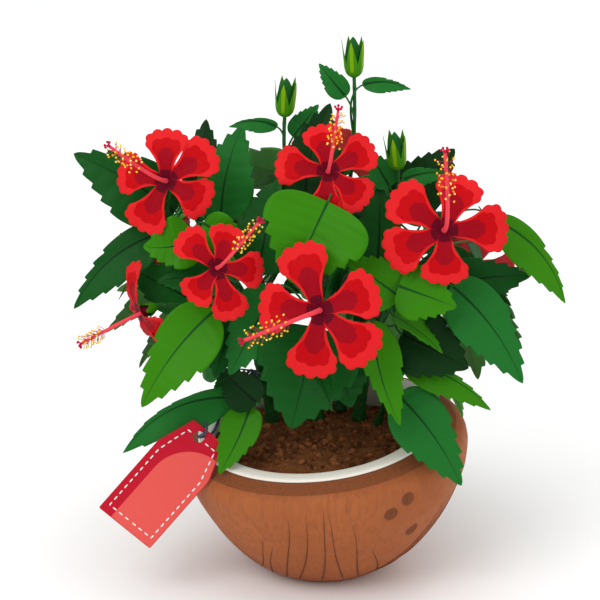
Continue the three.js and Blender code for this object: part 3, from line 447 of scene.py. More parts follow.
# A leaf has its tone, the share of the twig where it starts, foot, length, width, clock, and bow
# A petal has its clock and its length as a share of the flower's radius
SHOOTS = {
    "shoot_upper_left": dict(
        bough="bough_upper_left",
        end=(-164, -46, 421),
        flower=dict(
            centre=(-165, -70, 429), facing=(-0.15, -0.94, 0.3), column=(-216, -138, 486), radius=55,
            petals=((359, 0.92), (54, 1.04), (115, 0.9), (205, 1), (279, 0.88)),
        ),
        leaves=(
            ("dark", 0.45, (-158, -32, 384), 115, 72, 300, -5),
            ("deep", 0.2, (-132, 4, 389), 76, 46, 3, 0),
            ("mid", 0.1, (-113, -16, 369), 98, 64, 13, 4),
        ),
    ),
    "shoot_left": dict(
        bough="bough_left",
        end=(-176, -76, 303),
        flower=dict(
            centre=(-190, -82, 297), facing=(-0.86, -0.42, -0.28), column=(-248, -100, 272), radius=50,
            open=0.3, petals=((352, 1.1), (292, 0.95), (232, 0.8), (172, 0.85), (118, 0.75)),
        ),
        leaves=(
            ("dark", 0.1, (-172, -28, 361), 114, 48, 229, -12),
            ("mid", 0.3, (-141, -42, 296), 73, 52, 297, 0),
        ),
    ),
    "shoot_centre_left": dict(
        bough="bough_centre_left",
        end=(-114, -100, 349),
        flower=dict(
            centre=(-115, -120, 357), facing=(0.1, -0.94, 0.32), column=(-74, -186, 426), radius=47,
            petals=((19, 0.92), (95, 0.97), (164, 1.12), (223, 0.88), (315, 1.04)),
        ),
        leaves=(
            ("bright", 0.5, (-136, -84, 374), 52, 56, 262, 4),
            ("bright", 0.7, (-129, -88, 392), 49, 40, 119, 0),
            ("bright", 0.1, (-118, -100, 306), 118, 66, 217, -6),
            ("dark", 0.1, (-101, -78, 286), 58, 40, 198, 0),
        ),
    ),
    "shoot_low_left": dict(
        bough="bough_low_left",
        end=(-88, -72, 208),
        leaves=(
            ("mid", 0.5, (-98, -70, 203), 125, 38, 244, -17),
            ("bright", 0.9, (-84, -78, 197), 74, 42, 205, 3),
            ("deep", 0.3, (-77, -50, 190), 53, 44, 313, 0),
        ),
    ),
    "shoot_front": dict(
        bough="bough_front",
        end=(-16, -138, 322),
        flower=dict(
            centre=(-16, -160, 328), facing=(-0.08, -0.94, 0.32), column=(-88, -234, 325), radius=64,
            petals=((340, 1.06), (68, 0.94), (129, 1.08), (187, 1.02), (271, 0.92)),
        ),
        leaves=(
            ("dark", 0.5, (-19, -104, 290), 102, 106, 194, 0),
            ("mid", 0.3, (-59, -86, 324), 96, 60, 208, 0),
            ("dark", 0.25, (-6, -80, 276), 77, 75, 164, 0),
        ),
    ),
    "shoot_top": dict(
        bough="bough_top",
        end=(-8, -70, 438),
        flower=dict(
            centre=(-8, -90, 445), facing=(0.02, -0.95, 0.32), column=(1, -158, 528), radius=50,
            petals=((351, 0.92), (61, 1.02), (129, 0.99), (185, 0.9), (279, 1.03)),
        ),
        leaves=(
            ("deep", 0.1, (-30, -10, 384), 102, 64, 14, 6),
            ("dark", 0.05, (-76, -58, 329), 95, 66, 12, 0),
            ("bright", 0.6, (-8, -98, 417), 86, 112, 205, 0),
            ("dark", 0.05, (40, -32, 320), 88, 56, 2, 0),
        ),
    ),
    "shoot_right": dict(
        bough="bough_right",
        end=(103, -88, 386),
        flower=dict(
            centre=(104, -110, 392), facing=(0.06, -0.94, 0.33), column=(101, -188, 496), radius=61,
            petals=((21, 0.92), (89, 1.02), (181, 0.86), (247, 1.02), (307, 1.02)),
        ),
        leaves=(
            ("bright", 0.4, (157, -46, 380), 106, 40, 140, 12),
            ("dark", 0.1, (103, -50, 314), 90, 50, 84, 3),
            ("deep", 0.1, (62, -14, 385), 79, 60, 45, 0),
        ),
    ),
    "shoot_right_low": dict(
        bough="bough_right_low",
        end=(62, -116, 328),
        leaves=(
            ("mid", 0.3, (113, -84, 326), 118, 62, 144, 7),
            ("bright", 0.7, (62, -114, 325), 63, 56, 306, 0),
            ("bright", 0.95, (60, -118, 338), 60, 58, 110, 0),
            ("deep", 0.05, (64, -44, 261), 74, 70, 117, 0),
        ),
    ),
    "shoot_low_right": dict(
        bough="stem_far_right",
        end=(62, -92, 244),
        leaves=(
            ("bright", 0.75, (64, -90, 248), 100, 32, 118, 9),
            ("bright", 0.95, (35, -112, 300), 106, 42, 165, -6),
            ("mid", 0.5, (61, -98, 217), 109, 62, 145, 5),
        ),
    ),
    "shoot_bud_left": dict(
        bough="bough_bud_left",
        end=(-50, -20, 481),
        bud=1,
        leaves=(
            ("mid", 0.5, (-57, -20, 468), 48, 16, 270, -6),
            ("mid", 0.3, (-42, -26, 460), 41, 26, 38, 0),
        ),
    ),
    "shoot_bud_top": dict(
        bough="bough_bud_top",
        end=(18, 0, 515),
        bud=1,
        leaves=(
            ("mid", 0.25, (10, -4, 494), 42, 25, 321, 0),
            ("mid", 0.35, (26, -4, 506), 48, 17, 95, 5),
        ),
    ),
    "shoot_bud_right": dict(
        bough="bough_bud_right",
        end=(60, -46, 435),
        bud=1,
        leaves=(
            ("mid", 0.4, (53, -44, 414), 42, 30, 328, 0),
            ("mid", 0.6, (65, -52, 424), 46, 20, 83, 4),
        ),
    ),
}
# bough, heading, rise, reach, bloom and seed of each shoot of the back and sides
BACK_SHOOTS = {
    "shoot_back_high_left": ("bough_back_high_left", 165, 25, 50, "none", 3),
    "shoot_back_left": ("bough_back_left", 148, 0, 44, "flower", 8),
    "shoot_back_low_left": ("bough_back_low_left", 110, 0, 44, "bud", 5),
    "shoot_back_top": ("bough_back_top", 90, 15, 50, "flower", 12),
    "shoot_back_middle": ("bough_back_middle", 80, 60, 44, "none", 31),
    "shoot_back_right": ("bough_back_right", 52, -5, 44, "flower", 9),
    "shoot_back_high_right": ("bough_back_high_right", 30, 25, 40, "none", 21),
    "shoot_back_low_right": ("bough_back_low_right", 72, 0, 44, "none", 15),
}
# how many leaves a shoot has, their stalk, and their smallest length and width, each with what chance may add
BACK_LEAVES, BACK_STALK, BACK_LENGTH, BACK_WIDTH = 6, 26, (84, 26), (58, 14)
SIDE_LEAVES, SIDE_STALK, SIDE_LENGTH, SIDE_WIDTH = 3, 14, (58, 20), (38, 12)
BACK_TONES = ("dark", "mid", "bright", "mid", "dark", "deep", "bright")
BACK_FLOWER_RADIUS = 50
GOLDEN_ANGLE = 137.5
CROWN_MIDDLE, CROWN_HALF, CROWN_TOP = (-50, 40), (280, 340), 405
TWIG_RADII = {"thick": 2.8, "thin": 2, "bud": 1.8}
SHIFTS = (0, 5, -5, 10, -10, 16, -16, 23, -23, 31, -31, 40, -40, 50, -50)


def twig_curve(bough, end):
    limb = limb_curve(bough)
    along = slope(limb, 1)
    start = limb[2] + along * CLEARANCE
    return [start, start + along * 0.4 * np.linalg.norm(end - start), end]


def front_leaf(row, twig):
    tone, along, foot, length, width, clock, bow = row
    base = vec(*foot)
    tip = base + across(FRONT, clock)[0] * length
    made = {"from": bend(twig, along), "base": base, "tip": tip, "width": width, "bow": bow}
    return {**made, "face": FRONT + 0.3 * unit(tip * vec(1, 1, 0)), "free": FRONT, "tone": tone}


def crown_top(p):
    a, b = (p[0] - CROWN_MIDDLE[0]) / CROWN_HALF[0], (p[1] - CROWN_MIDDLE[1]) / CROWN_HALF[1]
    return CROWN_TOP * math.sqrt(max(1 - a * a - b * b, 0))


def drooping(root, way, stalk, length):
    """The ends of a leaf, which droops as far as keeps its tip below the crown's top"""
    while way[2] > -0.9 and (root + way * (stalk + length))[2] > crown_top(root + way * (stalk + length)):
        way = unit(way - 0.1 * UP)
    return {"from": root, "base": root + way * stalk, "tip": root + way * (stalk + length)}


def back_leaf(heading, rise, seed, i, twig):
    outward = direction(heading, rise)
    roll, _ = across(outward, GOLDEN_ANGLE * i + 360 * chance(seed, 0))
    way = unit(outward * 0.5 + roll - 0.45 * UP)
    root = bend(twig, 0.12 + 0.8 * i / (BACK_LEAVES - 1))
    return {
        **drooping(root, way, BACK_STALK, drawn(BACK_LENGTH, seed, i + 1)),
        "width": drawn(BACK_WIDTH, seed, i + 30),
        "bow": 8 * (chance(seed, i + 50) - 0.5),
        "face": outward * vec(1, 1, 0) + 0.5 * UP,
        "free": outward,
        "tone": BACK_TONES[(i + seed) % len(BACK_TONES)],
    }


def side_leaf(seed, i, twig):
    root = bend(twig, 0.15 + 0.75 * i / (SIDE_LEAVES - 1))
    outer = math.copysign(1, root[0] - CROWN_MIDDLE[0])
    roll = math.radians(GOLDEN_ANGLE * i + 360 * chance(seed, 70))
    way = unit(vec(0.35 * outer, 0.5 + math.cos(roll), math.sin(roll)))
    return {
        **drooping(root, way, SIDE_STALK, drawn(SIDE_LENGTH, seed, i + 71)),
        "width": drawn(SIDE_WIDTH, seed, i + 80),
        "bow": 0,
        "face": vec(outer, -0.3, 0.3),
        "free": vec(0.5 * outer, 0.5, 0),
        "tone": BACK_TONES[(i + 2 * seed) % len(BACK_TONES)],
    }


def back_shoot(bough, heading, rise, reach, bloom, seed):
    outward = direction(heading, rise)
    end = limb_curve(bough)[2] + outward * reach
    twig = twig_curve(bough, end)
    grown = [back_leaf(heading, rise, seed, i, twig) for i in range(BACK_LEAVES)]
    made = {"bough": bough, "end": end, "grown": grown}
    if bloom == "bud":
        made["bud"] = 1
    if bloom == "flower":
        facing = unit(outward + 0.1 * UP)
        centre = end + facing * 0.32 * BACK_FLOWER_RADIUS
        sideways, _ = across(facing, 360 * chance(seed, 60))
        spin = 72 * chance(seed, 61)
        petals = [(spin + 72 * i, 1) for i in range(5)]
        column = centre + facing * 52 + sideways * 26
        made["flower"] = dict(
            centre=centre, facing=facing, column=column, radius=BACK_FLOWER_RADIUS, petals=petals
        )
    return made


# Leaves

FOLIAGE = (*("leaf_" + t for t in TONES), *("rib_" + t for t in TONES), "leaf_underside", "leaf_stalk")
LEAF_FOLD, LEAF_ARCH, LEAF_THICK, STALK = 0.16, 0.05, 0.55, 1.2
LEAF_PILLOW, LEAF_WAVE, LEAF_TURN = 0.008, 0.05, 0.09
RIB_HALF, RIB_RISE, RIB_MARKED = 1.5, 0.5, 0.88
VEINS = np.array([0.1, 0.22, 0.35, 0.48, 0.61, 0.74, 0.86])  # where the side veins reach the edge
TEETH, TOOTH_DEPTH, TOOTH_STEP = VEINS[3:], 0.14, 0.004
NARROWER = 0.95  # a smooth outline bulges further than a straight-sided one of the same width


def outline(t):
    """Half width of the blade without teeth, as a share of its largest"""
    return np.sin(np.pi * np.clip(t, 0, 1) ** 0.6) ** 0.7


def edge_rows(steps):
    """Rows of the blade: where each meets the edge, its share of the half width, and its place between
    two veins. Each tooth ends at a vein, and the edge steps in just past it."""
    rows = [(TOOTH_STEP, 0.14, 0.0)]
    stops = [0.0, *VEINS, 1.0]
    for a, b in zip(stops, stops[1:]):
        for k in range(1, steps + (b < 1)):
            u = k / steps
            cut = TOOTH_DEPTH * (1 - u) if a in TEETH else 0
            rows.append((a + (b - a) * u, float(outline(a + (b - a) * u)) - cut, u % 1))
        if b in TEETH:
            rows.append((b + TOOTH_STEP, float(outline(b)) - TOOTH_DEPTH, 0.0))
    rows.append((1.0, 0.012, 0.0))
    return np.array(rows)


# rows of the edge and columns of each half blade, for a large leaf and for a small one
FINE = edge_rows(5), np.array([0, 0.1, 0.22, 0.36, 0.5, 0.64, 0.78, 0.9, 1.0])
PLAIN = edge_rows(3), np.array([0, 0.2, 0.45, 0.72, 1.0])


def rib_station(te):
    """Where the row that reaches the edge at te leaves the midrib: side veins run forwards"""
    t = np.linspace(0, 1, 200)
    return np.interp(te, t + 0.17 * t**0.35 * (1 - t) ** 0.9, t)


def add_leaf(piece, leaf, seed, detail=FINE):
    """A blade with its midrib, and the stalk from where the leaf starts"""
    base, tip = leaf["base"], leaf["tip"]
    length = np.linalg.norm(tip - base)
    along = (tip - base) / length
    normal = unit(leaf["face"] - along * leaf["face"].dot(along))
    left = np.cross(normal, along)
    curve = [base, (base + tip) / 2 + normal * 2 * LEAF_ARCH * length + left * 2 * leaf["bow"], tip]
    rows, fans = detail
    te, share, phase = rows.T
    t0 = rib_station(te)
    half = np.maximum(share * leaf["width"] / 2 * NARROWER, 0.15)
    rib = np.minimum(np.maximum(RIB_HALF * (1 - t0 / 0.92), 0.1), half * 0.3)
    inwards = 0.75 * leaf["bow"] * 4 * te * (1 - te)  # the blade bows less than its midrib
    left_half = np.maximum(half - inwards, 0.35 * half)
    right_half = np.maximum(half + inwards, 0.35 * half)
    fan_t = [t0 + (te - t0) * f for f in fans]
    t = np.array([*fan_t[::-1], t0, *fan_t]).T
    x = [-(rib + (right_half - rib) * f) for f in fans[::-1]] + [0 * t0]
    x = np.array(x + [rib + (left_half - rib) * f for f in fans]).T
    f = np.abs(x) / np.where(x > 0, left_half[:, None], right_half[:, None])
    side = np.cross(np.broadcast_to(normal, t.shape + (3,)), slope(curve, t))
    side /= np.linalg.norm(side, axis=-1, keepdims=True)
    lift = np.cross(slope(curve, t), side)
    pillow = np.sin(np.pi * phase)[:, None] ** 0.8 * (1 - 0.8 * f**3) * np.minimum(np.abs(x) / 4, 1)
    wave = np.sin(2 * np.pi * (2.3 * te + chance(seed, 3)))[:, None] * f**2 * half[:, None]
    turn = LEAF_TURN * (chance(seed, 4) - 0.5) * x * te[:, None]
    height = LEAF_FOLD * (np.sqrt(x**2 + 4) - 2) + LEAF_PILLOW * leaf["width"] * pillow
    height = height + LEAF_WAVE * wave + turn
    height += np.where(np.abs(x) < 0.05, RIB_RISE, 0) * (half[:, None] > 2)
    grid = bend(curve, t) + side * x[..., None] + lift * height[..., None]
    middle = x.shape[1] // 2
    marks = np.full((len(te) - 1, x.shape[1] - 1), piece.mark["leaf_" + leaf["tone"]])
    marks[t0[:-1] < RIB_MARKED, middle - 1 : middle + 1] = piece.mark["rib_" + leaf["tone"]]
    sheet(piece, grid[:, ::-1], marks[:, ::-1], "leaf_underside", LEAF_THICK)
    root, way = leaf["from"], slope(curve, 0)
    bow = [root, base - way * 0.35 * np.linalg.norm(base - root), base + way * 2]
    s = np.linspace(0, 1, 12)
    tube(piece, bend(bow, s), STALK * (1 + 0.5 * np.exp(-9 * s)) * (1 - 0.25 * s), 8, "leaf_stalk")


# Flowers

PETALS = ("petal_throat", "petal_inner", "petal_middle", "petal_edge", "petal_back")
STAMENS = ("column", "filament", "anther", "pollen", "stigma")
# Outlines of a petal and of the darker zones inside it, as shares of the flower's radius: out and half width
PETAL_FOOT = ((0, 0.025), (0.05, 0.06), (0.11, 0.1))
PETAL_ZONES = {
    "petal_throat": ((0.17, 0.115), (0.21, 0.08), (0.22, 0)),
    "petal_inner": (
        *((0.17, 0.11), (0.23, 0.095), (0.3, 0.085), (0.4, 0.095), (0.48, 0.125)),
        *((0.55, 0.145), (0.61, 0.1), (0.62, 0)),
    ),
    "petal_middle": (
        *((0.17, 0.113), (0.23, 0.108), (0.32, 0.115), (0.42, 0.145), (0.52, 0.2)),
        *((0.62, 0.26), (0.7, 0.27), (0.77, 0.22), (0.81, 0.1), (0.81, 0)),
    ),
    "petal_edge": (
        *((0.2, 0.125), (0.32, 0.15), (0.42, 0.19), (0.52, 0.25), (0.62, 0.33)),
        *((0.72, 0.385), (0.82, 0.385), (0.91, 0.305), (0.97, 0.17), (0.99, 0)),
    ),
}
# how many lobes the end of each zone has, and how deep they are
ZONE_LOBES = {
    "petal_throat": (1, 0),
    "petal_inner": (3, 0.06),
    "petal_middle": (5, 0.05),
    "petal_edge": (7, 0.07),
}
ZONE_STEPS, ZONE_POINTS = 4, 85
PETAL_THICK = 0.5
# how many ruffles and veins a petal has, and how high they are; and its twist and fold
RUFFLES, RUFFLE_RISE, PETAL_VEINS, VEIN_RISE = 3.5, 0.028, 12, 0.003
PETAL_TWIST, PETAL_FOLD = 0.12, 0.1


def zone_outline(name):
    """Points (aside, out) from the left of the foot round the lobed end to the right of it"""
    half = np.array(PETAL_FOOT + PETAL_ZONES[name])
    u = np.linspace(0, 1, ZONE_POINTS)
    smooth, _ = spaced(np.vstack([half * (1, -1), half[-2::-1]])[:, ::-1], u)
    for _ in range(10):
        smooth[1:-1] = (smooth[:-2] + 2 * smooth[1:-1] + smooth[2:]) / 4
    lobes, depth = ZONE_LOBES[name]
    end = np.clip((u - 0.24) / 0.52, 0, 1)
    away = np.gradient(smooth, axis=0)[:, ::-1] * (-1, 1)
    away /= np.linalg.norm(away, axis=1, keepdims=True)
    bulge = (np.abs(np.sin(np.pi * lobes * end)) ** 0.5 - 0.55) * np.sin(np.pi * end) ** 0.3
    return smooth + away * (depth * bulge)[:, None]


def petal_rows():
    """Rows of the petal from its foot to its edge, with the zone of each strip between two rows"""
    before = zone_outline("petal_throat") * (1, 0.02)
    rows, zones = [before], []
    for name in PETAL_ZONES:
        curve = zone_outline(name)
        rows += [before + (curve - before) * k / ZONE_STEPS for k in range(1, ZONE_STEPS + 1)]
        zones += [name] * ZONE_STEPS
        before = curve
    return np.array(rows), zones


PETAL_ROWS, PETAL_STRIPS = petal_rows()


def add_petal(piece, centre, facing, clock, radius, wide_open, length, seed):
    out, side = across(facing, clock)
    aside, s = PETAL_ROWS[..., 0], PETAL_ROWS[..., 1]
    rise = 0.34 * s - 0.36 * s * s - wide_open * 0.9 * s * s
    reach = s * length * (1 - wide_open * 0.35 * s)
    edge = np.linspace(0, 1, len(PETAL_ROWS))[:, None]
    share = np.linspace(0, 1, ZONE_POINTS)[None]
    ruffle = RUFFLE_RISE * np.sin(2 * np.pi * (RUFFLES * share + chance(seed, 1)))
    ruffle = ruffle * edge**4 * np.minimum(s / 0.4, 1) ** 2
    veins = VEIN_RISE * np.cos(2 * np.pi * PETAL_VEINS * aside / np.maximum(s, 0.1)) * np.minimum(s * 2, 1)
    twist = PETAL_TWIST * (chance(seed, 2) - 0.3) * aside * s
    height = rise + ruffle + veins + PETAL_FOLD * np.abs(aside) + twist
    grid = centre + radius * (out * reach[..., None] + side * aside[..., None] + facing * height[..., None])
    marks = np.repeat([[piece.mark[name]] for name in PETAL_STRIPS], ZONE_POINTS - 1, axis=1)
    sheet(piece, grid, marks, "petal_back", PETAL_THICK, facing)


# the share of the column where its stamens start, and the share that they take
STAMEN_COUNT, STAMENS_FROM, STAMENS_TAKE = 44, 0.62, 0.34
FILAMENT_RADIUS, ANTHER_RADII, STIGMA_RADII = 0.3, (1.15, 0.85), (1.5, 1.1)


def add_column(piece, centre, facing, tip, radius, seed):
    """The long column with stamens round its outer part and five stigmas at its tip"""
    curve = [centre - facing * 0.05 * radius, centre + facing * 0.5 * np.linalg.norm(tip - centre), tip]
    t = np.linspace(0, 1, 30)
    tube(piece, bend(curve, t), radius * (0.04 - 0.012 * t + 0.02 * np.exp(-30 * t)), 12, "column")
    for i in range(STAMEN_COUNT):
        s = STAMENS_FROM + STAMENS_TAKE * (i + 0.5 * chance(seed, i)) / STAMEN_COUNT
        way = slope(curve, s)
        a, _ = across(way, GOLDEN_ANGLE * i)
        out = unit(a + way * (0.35 + 0.4 * chance(seed, i + 100)))
        foot = bend(curve, s) + a * 0.02 * radius
        reach = radius * (0.1 + 0.06 * chance(seed, i + 200))
        bow = [foot, foot + out * reach * 0.6, foot + out * reach + way * 0.02 * radius]
        tube(piece, bend(bow, np.linspace(0, 1, 4)), [FILAMENT_RADIUS] * 4, 4, "filament", caps=False)
        kind = "anther" if chance(seed, i + 300) < 0.65 else "pollen"
        ball(piece, bow[2], ANTHER_RADII, kind, way=out)
    way = slope(curve, 1)
    for i in range(5):
        a, _ = across(way, 72 * i + 20)
        end = tip + way * 3.2 + a * 3.4
        tube(piece, [tip - way, tip + way * 1.2 + a * 0.8, end], [0.8, 0.7, 0.6], 6, "stigma")
        ball(piece, end, STIGMA_RADII, "stigma", way=a)


def add_calyx(piece, back, front, facing, radius):
    """The green cup behind a flower, with five points"""
    length = np.linalg.norm(front - back)
    angles = np.linspace(0, 2 * math.pi, 41)
    point = np.abs(np.cos(2.5 * angles)) ** 1.6
    grid = []
    for u in np.linspace(0, 1, 8):
        ring = []
        for angle, p in zip(angles, point):
            a, _ = across(facing, math.degrees(angle))
            h = u * (0.62 + 0.38 * p)
            wide = radius * (0.045 + 0.1 * math.sin(min(h * 1.9, 1.57)) + 0.05 * max(h - 0.7, 0))
            ring.append(back + facing * (h * length * 1.02) + a * wide)
        grid.append(ring)
    sheet(piece, np.array(grid), "sepal", "sepal", 0.5)


def add_flower(pieces, flower, seed):
    centre, facing, tip = vec(*flower["centre"]), unit(vec(*flower["facing"])), vec(*flower["column"])
    radius, petals = flower["radius"], pieces["petals"]
    for i, (clock, length) in enumerate(flower["petals"]):
        add_petal(petals, centre, facing, clock, radius, flower.get("open", 0), length, seed * 7 + i)
    back, front = centre - facing * 0.34 * radius, centre + facing * 0.02 * radius
    radii = [0.05 * radius, 0.085 * radius, 0.1 * radius]
    tube(petals, [back, (back + front) / 2, front], radii, 20, "petal_throat")
    add_column(pieces["stamens"], centre, facing, tip, radius, seed)
    add_calyx(pieces["buds"], back, centre - facing * 0.05 * radius, facing, radius)


# Buds

BUDS = ("sepal", "sepal_light", "bud_body")
BUD_HEIGHT, BUD_RADIUS, SEPALS, SEPAL_BEND = 41, 9.5, 5, 0.42
# height and radius, as shares of the bud's
BUD_SHAPE = (
    *((0, 0.3), (0.05, 0.62), (0.13, 0.84), (0.25, 0.96), (0.4, 1), (0.6, 0.9)),
    *((0.78, 0.64), (0.92, 0.3), (1, 0.02)),
)


def add_bud(piece, foot, along, size):
    """A furled body in a cup of sepals whose points stand off it. The middle of each sepal is paler."""
    heights, widths = np.array(BUD_SHAPE).T

    def at(h, angle, grow, twist=0.0):
        a, _ = across(along, math.degrees(angle + twist))
        wide = np.interp(h, heights, widths) * BUD_RADIUS * size * grow
        return foot + along * h * BUD_HEIGHT * size + a * wide

    angles = np.linspace(0, 2 * math.pi, 31)
    folds = 0.88 + 0.06 * np.sin(5 * angles)
    body = [[at(h, a, f, 1.2 * h) for a, f in zip(angles, folds)] for h in np.linspace(0.1, 1, 18)]
    sheet(piece, np.array(body), "bud_body", "bud_body", 0.4)
    columns = 14 * SEPALS
    angles = np.linspace(0, 2 * math.pi, columns + 1)
    facing = [across(along, clock)[0].dot(FRONT) for clock in range(360)]
    turn = -2 * math.pi * 1.5 / SEPALS + math.radians(int(np.argmax(facing)) + 12)
    point = (1 - np.abs((SEPALS * angles / (2 * math.pi)) % 1 - 0.5) * 2) ** 0.9
    grid = []
    for u in np.linspace(0, 1, 16):
        row = []
        for a, p in zip(angles, point):
            h = u * (0.36 + 0.6 * p)
            straight = (1.05 + 0.3 * (h - SEPAL_BEND)) / np.interp(h, heights, widths)
            row.append(at(h, a + turn, 1.05 if h < SEPAL_BEND else straight))
        grid.append(row)
    marks = np.full((15, columns), piece.mark["sepal"])
    for middle in range(7, columns, 14):
        marks[3:, middle - 2 : middle + 2] = piece.mark["sepal_light"]
    sheet(piece, np.array(grid)[:, ::-1], marks[:, ::-1], "sepal", 0.45)


# Growing the shoots

INNER_LIMBS = {
    "front": (
        *("stem_left", "stem_centre", "stem_right", "bough_front"),
        *("bough_top", "bough_right", "bough_right_low"),
    ),
    "back": (
        *("stem_back_left", "stem_back_right", "bough_back_top"),
        *("bough_back_middle", "bough_back_high_right"),
    ),
}
INNER_REACH, INNER_STALK, INNER_LENGTH, INNER_SHAPE = 24, 6, (26, 14), 0.62
INNER_RADII = (1.4, 0.8)
INNER_TONES = ("dark", "deep", "mid")
TWIGS = ("twig_bark",)
PLANT_PIECES = {"leaves": FOLIAGE, "twigs": TWIGS, "petals": PETALS, "stamens": STAMENS, "buds": BUDS}


def add_small_leaves(twigs, leaves, limb, seed):
    """Fine twigs with small leaves along a limb, well inside the crown"""
    for i in range(3):
        t = 0.45 + 0.22 * i
        way, _ = across(slope(limb, t), GOLDEN_ANGLE * i + 360 * chance(seed, 90))
        way = unit(way + 0.5 * slope(limb, t))
        root = bend(limb, t)
        end = root + way * INNER_REACH
        path = bend([root, root + way * INNER_REACH * 0.6, end], np.linspace(0, 1, 8))
        tube(twigs, path, np.linspace(*INNER_RADII, 8), 8)
        for k in range(2):
            turn, _ = across(way, 180 * k + 360 * chance(seed, 91 + i))
            out = unit(way + 0.8 * turn - 0.2 * UP)
            base = end + out * INNER_STALK
            length = drawn(INNER_LENGTH, seed, 95 + 2 * i + k)
            leaf = {"from": end, "base": base, "tip": base + out * length, "bow": 0}
            leaf["width"] = INNER_SHAPE * length
            leaf["face"] = unit(out * vec(1, 1, 0) + UP)
            leaf["tone"] = INNER_TONES[(i + k + seed) % len(INNER_TONES)]
            add_leaf(leaves, leaf, seed * 5 + i, PLAIN)


def grow(name, shoot, pieces, seed):
    """One shoot. Each leaf takes the shift that the solids gave it: the one that has a vertex at its tip."""
    end, twigs = vec(*shoot["end"]), pieces["twigs"]
    twig = twig_curve(shoot["bough"], end)
    thick = min(TWIG_RADII["bud" if "bud" in shoot else "thick"], limb_radii(shoot["bough"])[1])
    thin = min(thick, TWIG_RADII["thin"])
    t = np.linspace(0, 1, 26)
    radii = (thick + (thin - thick) * t) * (1 + 0.15 * knots(t * 4))
    tube(twigs, bend(twig, t), radii, 12, relief=bark_relief(thick))
    along = slope(twig, 1)
    if "flower" in shoot:
        flower = shoot["flower"]
        back = vec(*flower["centre"]) - unit(vec(*flower["facing"])) * 0.31 * flower["radius"]
        path = bend([end - along * 3, (end + back) / 2, back], np.linspace(0, 1, 8))
        tube(twigs, path, [thin] * 8, 12, relief=bark_relief(thin))
        add_flower(pieces, flower, seed)
    if "bud" in shoot:
        add_bud(pieces["buds"], end - along * 2, along, shoot["bud"])
    solid = np.array([v.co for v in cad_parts[name].data.vertices]) / MM
    rows = shoot.get("grown") or [front_leaf(row, twig) for row in shoot["leaves"]]
    rows = [(leaf, "leaves", FINE) for leaf in rows]
    if "bud" not in shoot and "grown" not in shoot:
        rows += [(side_leaf(seed, i, twig), "inner", PLAIN) for i in range(SIDE_LEAVES)]
    for i, (leaf, kind, detail) in enumerate(rows):
        for shift in SHIFTS:
            tip = leaf["tip"] + leaf["free"] * shift
            if np.min(np.linalg.norm(solid - tip, axis=1)) < 0.5:
                moved = {**leaf, "base": leaf["base"] + leaf["free"] * shift, "tip": tip}
                add_leaf(pieces[kind], moved, seed * 13 + i, detail)
                break


def make_shoots():
    shoots = SHOOTS | {name: back_shoot(*row) for name, row in BACK_SHOOTS.items()}
    inner = Piece("leaves_inner", *FOLIAGE)
    for part, names in (("front", list(SHOOTS)), ("back", list(BACK_SHOOTS))):
        pieces = {kind: Piece(f"{kind}_{part}", *used) for kind, used in PLANT_PIECES.items()}
        for i, name in enumerate(names):
            grow(name, shoots[name], {**pieces, "inner": inner}, i + 1)
        for i, limb in enumerate(INNER_LIMBS[part]):
            add_small_leaves(pieces["twigs"], inner, limb_curve(limb), i + 1)
        for piece in pieces.values():
            piece.make(*names, slot="foliage")
    inner.make(*shoots, slot="foliage")


make_shoots()

# Pot

POT_LEAN = (5, 6)
SHELL_PROFILE = (
    *((0, -12), (34, -9), (54, 1), (87, 24), (112, 53)),
    *((130, 84), (141, 112), (143, 138), (124, 152)),
)
SHELL_SIDES, SHELL_FOOT = 288, -11.5
RIM_SECTION = ((123.4, 152.2), (121, 152.3), (119.2, 151.8), (119, 140))
RIM_HEIGHT, BULGE, WIDEST = 155, 5, 105
# where the darker strip of painted shade below the rim starts, and the radius it stays inside
SHADE_BAND_FROM, SHADE_BAND_INSIDE = 144.5, 144
BROAD_RELIEF, FINE_RELIEF = 0.35, 0.2
# heading and height of each pore, and the section of the dish in it: share of its radius, and how far out
PORES = ((-56, 122), (-64, 111), (-51, 77))
PORE_DISH = ((0, -1.5), (0.35, -1.4), (0.65, -1), (0.85, -0.4), (0.96, 0.15), (1, 0.2), (1.05, -0.4))
PORE_RADIUS, PORE_DEPTH, DENT_REACH, DENT_EDGE, DENT_SLOPE = 7.2, 3, 12, 1.6, 0.4

lean = np.array(Matrix.Rotation(math.radians(-POT_LEAN[1]), 3, "Y"))
lean = np.array(Matrix.Rotation(math.radians(POT_LEAN[0]), 3, "X")) @ lean


def bulge(h):
    share = (RIM_HEIGHT - h) / (RIM_HEIGHT - WIDEST) if h > WIDEST else h / WIDEST
    return BULGE * math.sin(math.pi / 2 * min(max(share, 0), 1))


def pot_point(radius, heading, h):
    return lean @ vec(radius * math.cos(heading) + bulge(h), radius * math.sin(heading), h)


def smooth_profile(points, count):
    """Evenly spaced points of a smooth curve through the profile's points"""
    points = np.array(points, float)
    ends = np.vstack([2 * points[0] - points[1], points, 2 * points[-1] - points[-2]])
    fine = []
    for a, b, c, d in zip(ends, ends[1:], ends[2:], ends[3:]):
        for t in np.arange(20) / 20:
            cubic = (2 * a - 5 * b + 4 * c - d) * t**2 + (3 * b - a - 3 * c + d) * t**3
            fine.append(0.5 * (2 * b + (c - a) * t + cubic))
    return spaced([*fine, points[-1]], np.linspace(0, 1, count))[0]


OUTSIDE = smooth_profile(SHELL_PROFILE, 140)


def husk_look(name, color, scale=120):
    look = Look(name, color, 0.66, specular=0.12)
    look.blend(linear(color), tuple(c * 0.86 for c in color), scale, 5, 0.4, 0.75, (3, 3, 0.25))
    look.bump(200, 0.35, 0.001, (3, 3, 0.3))


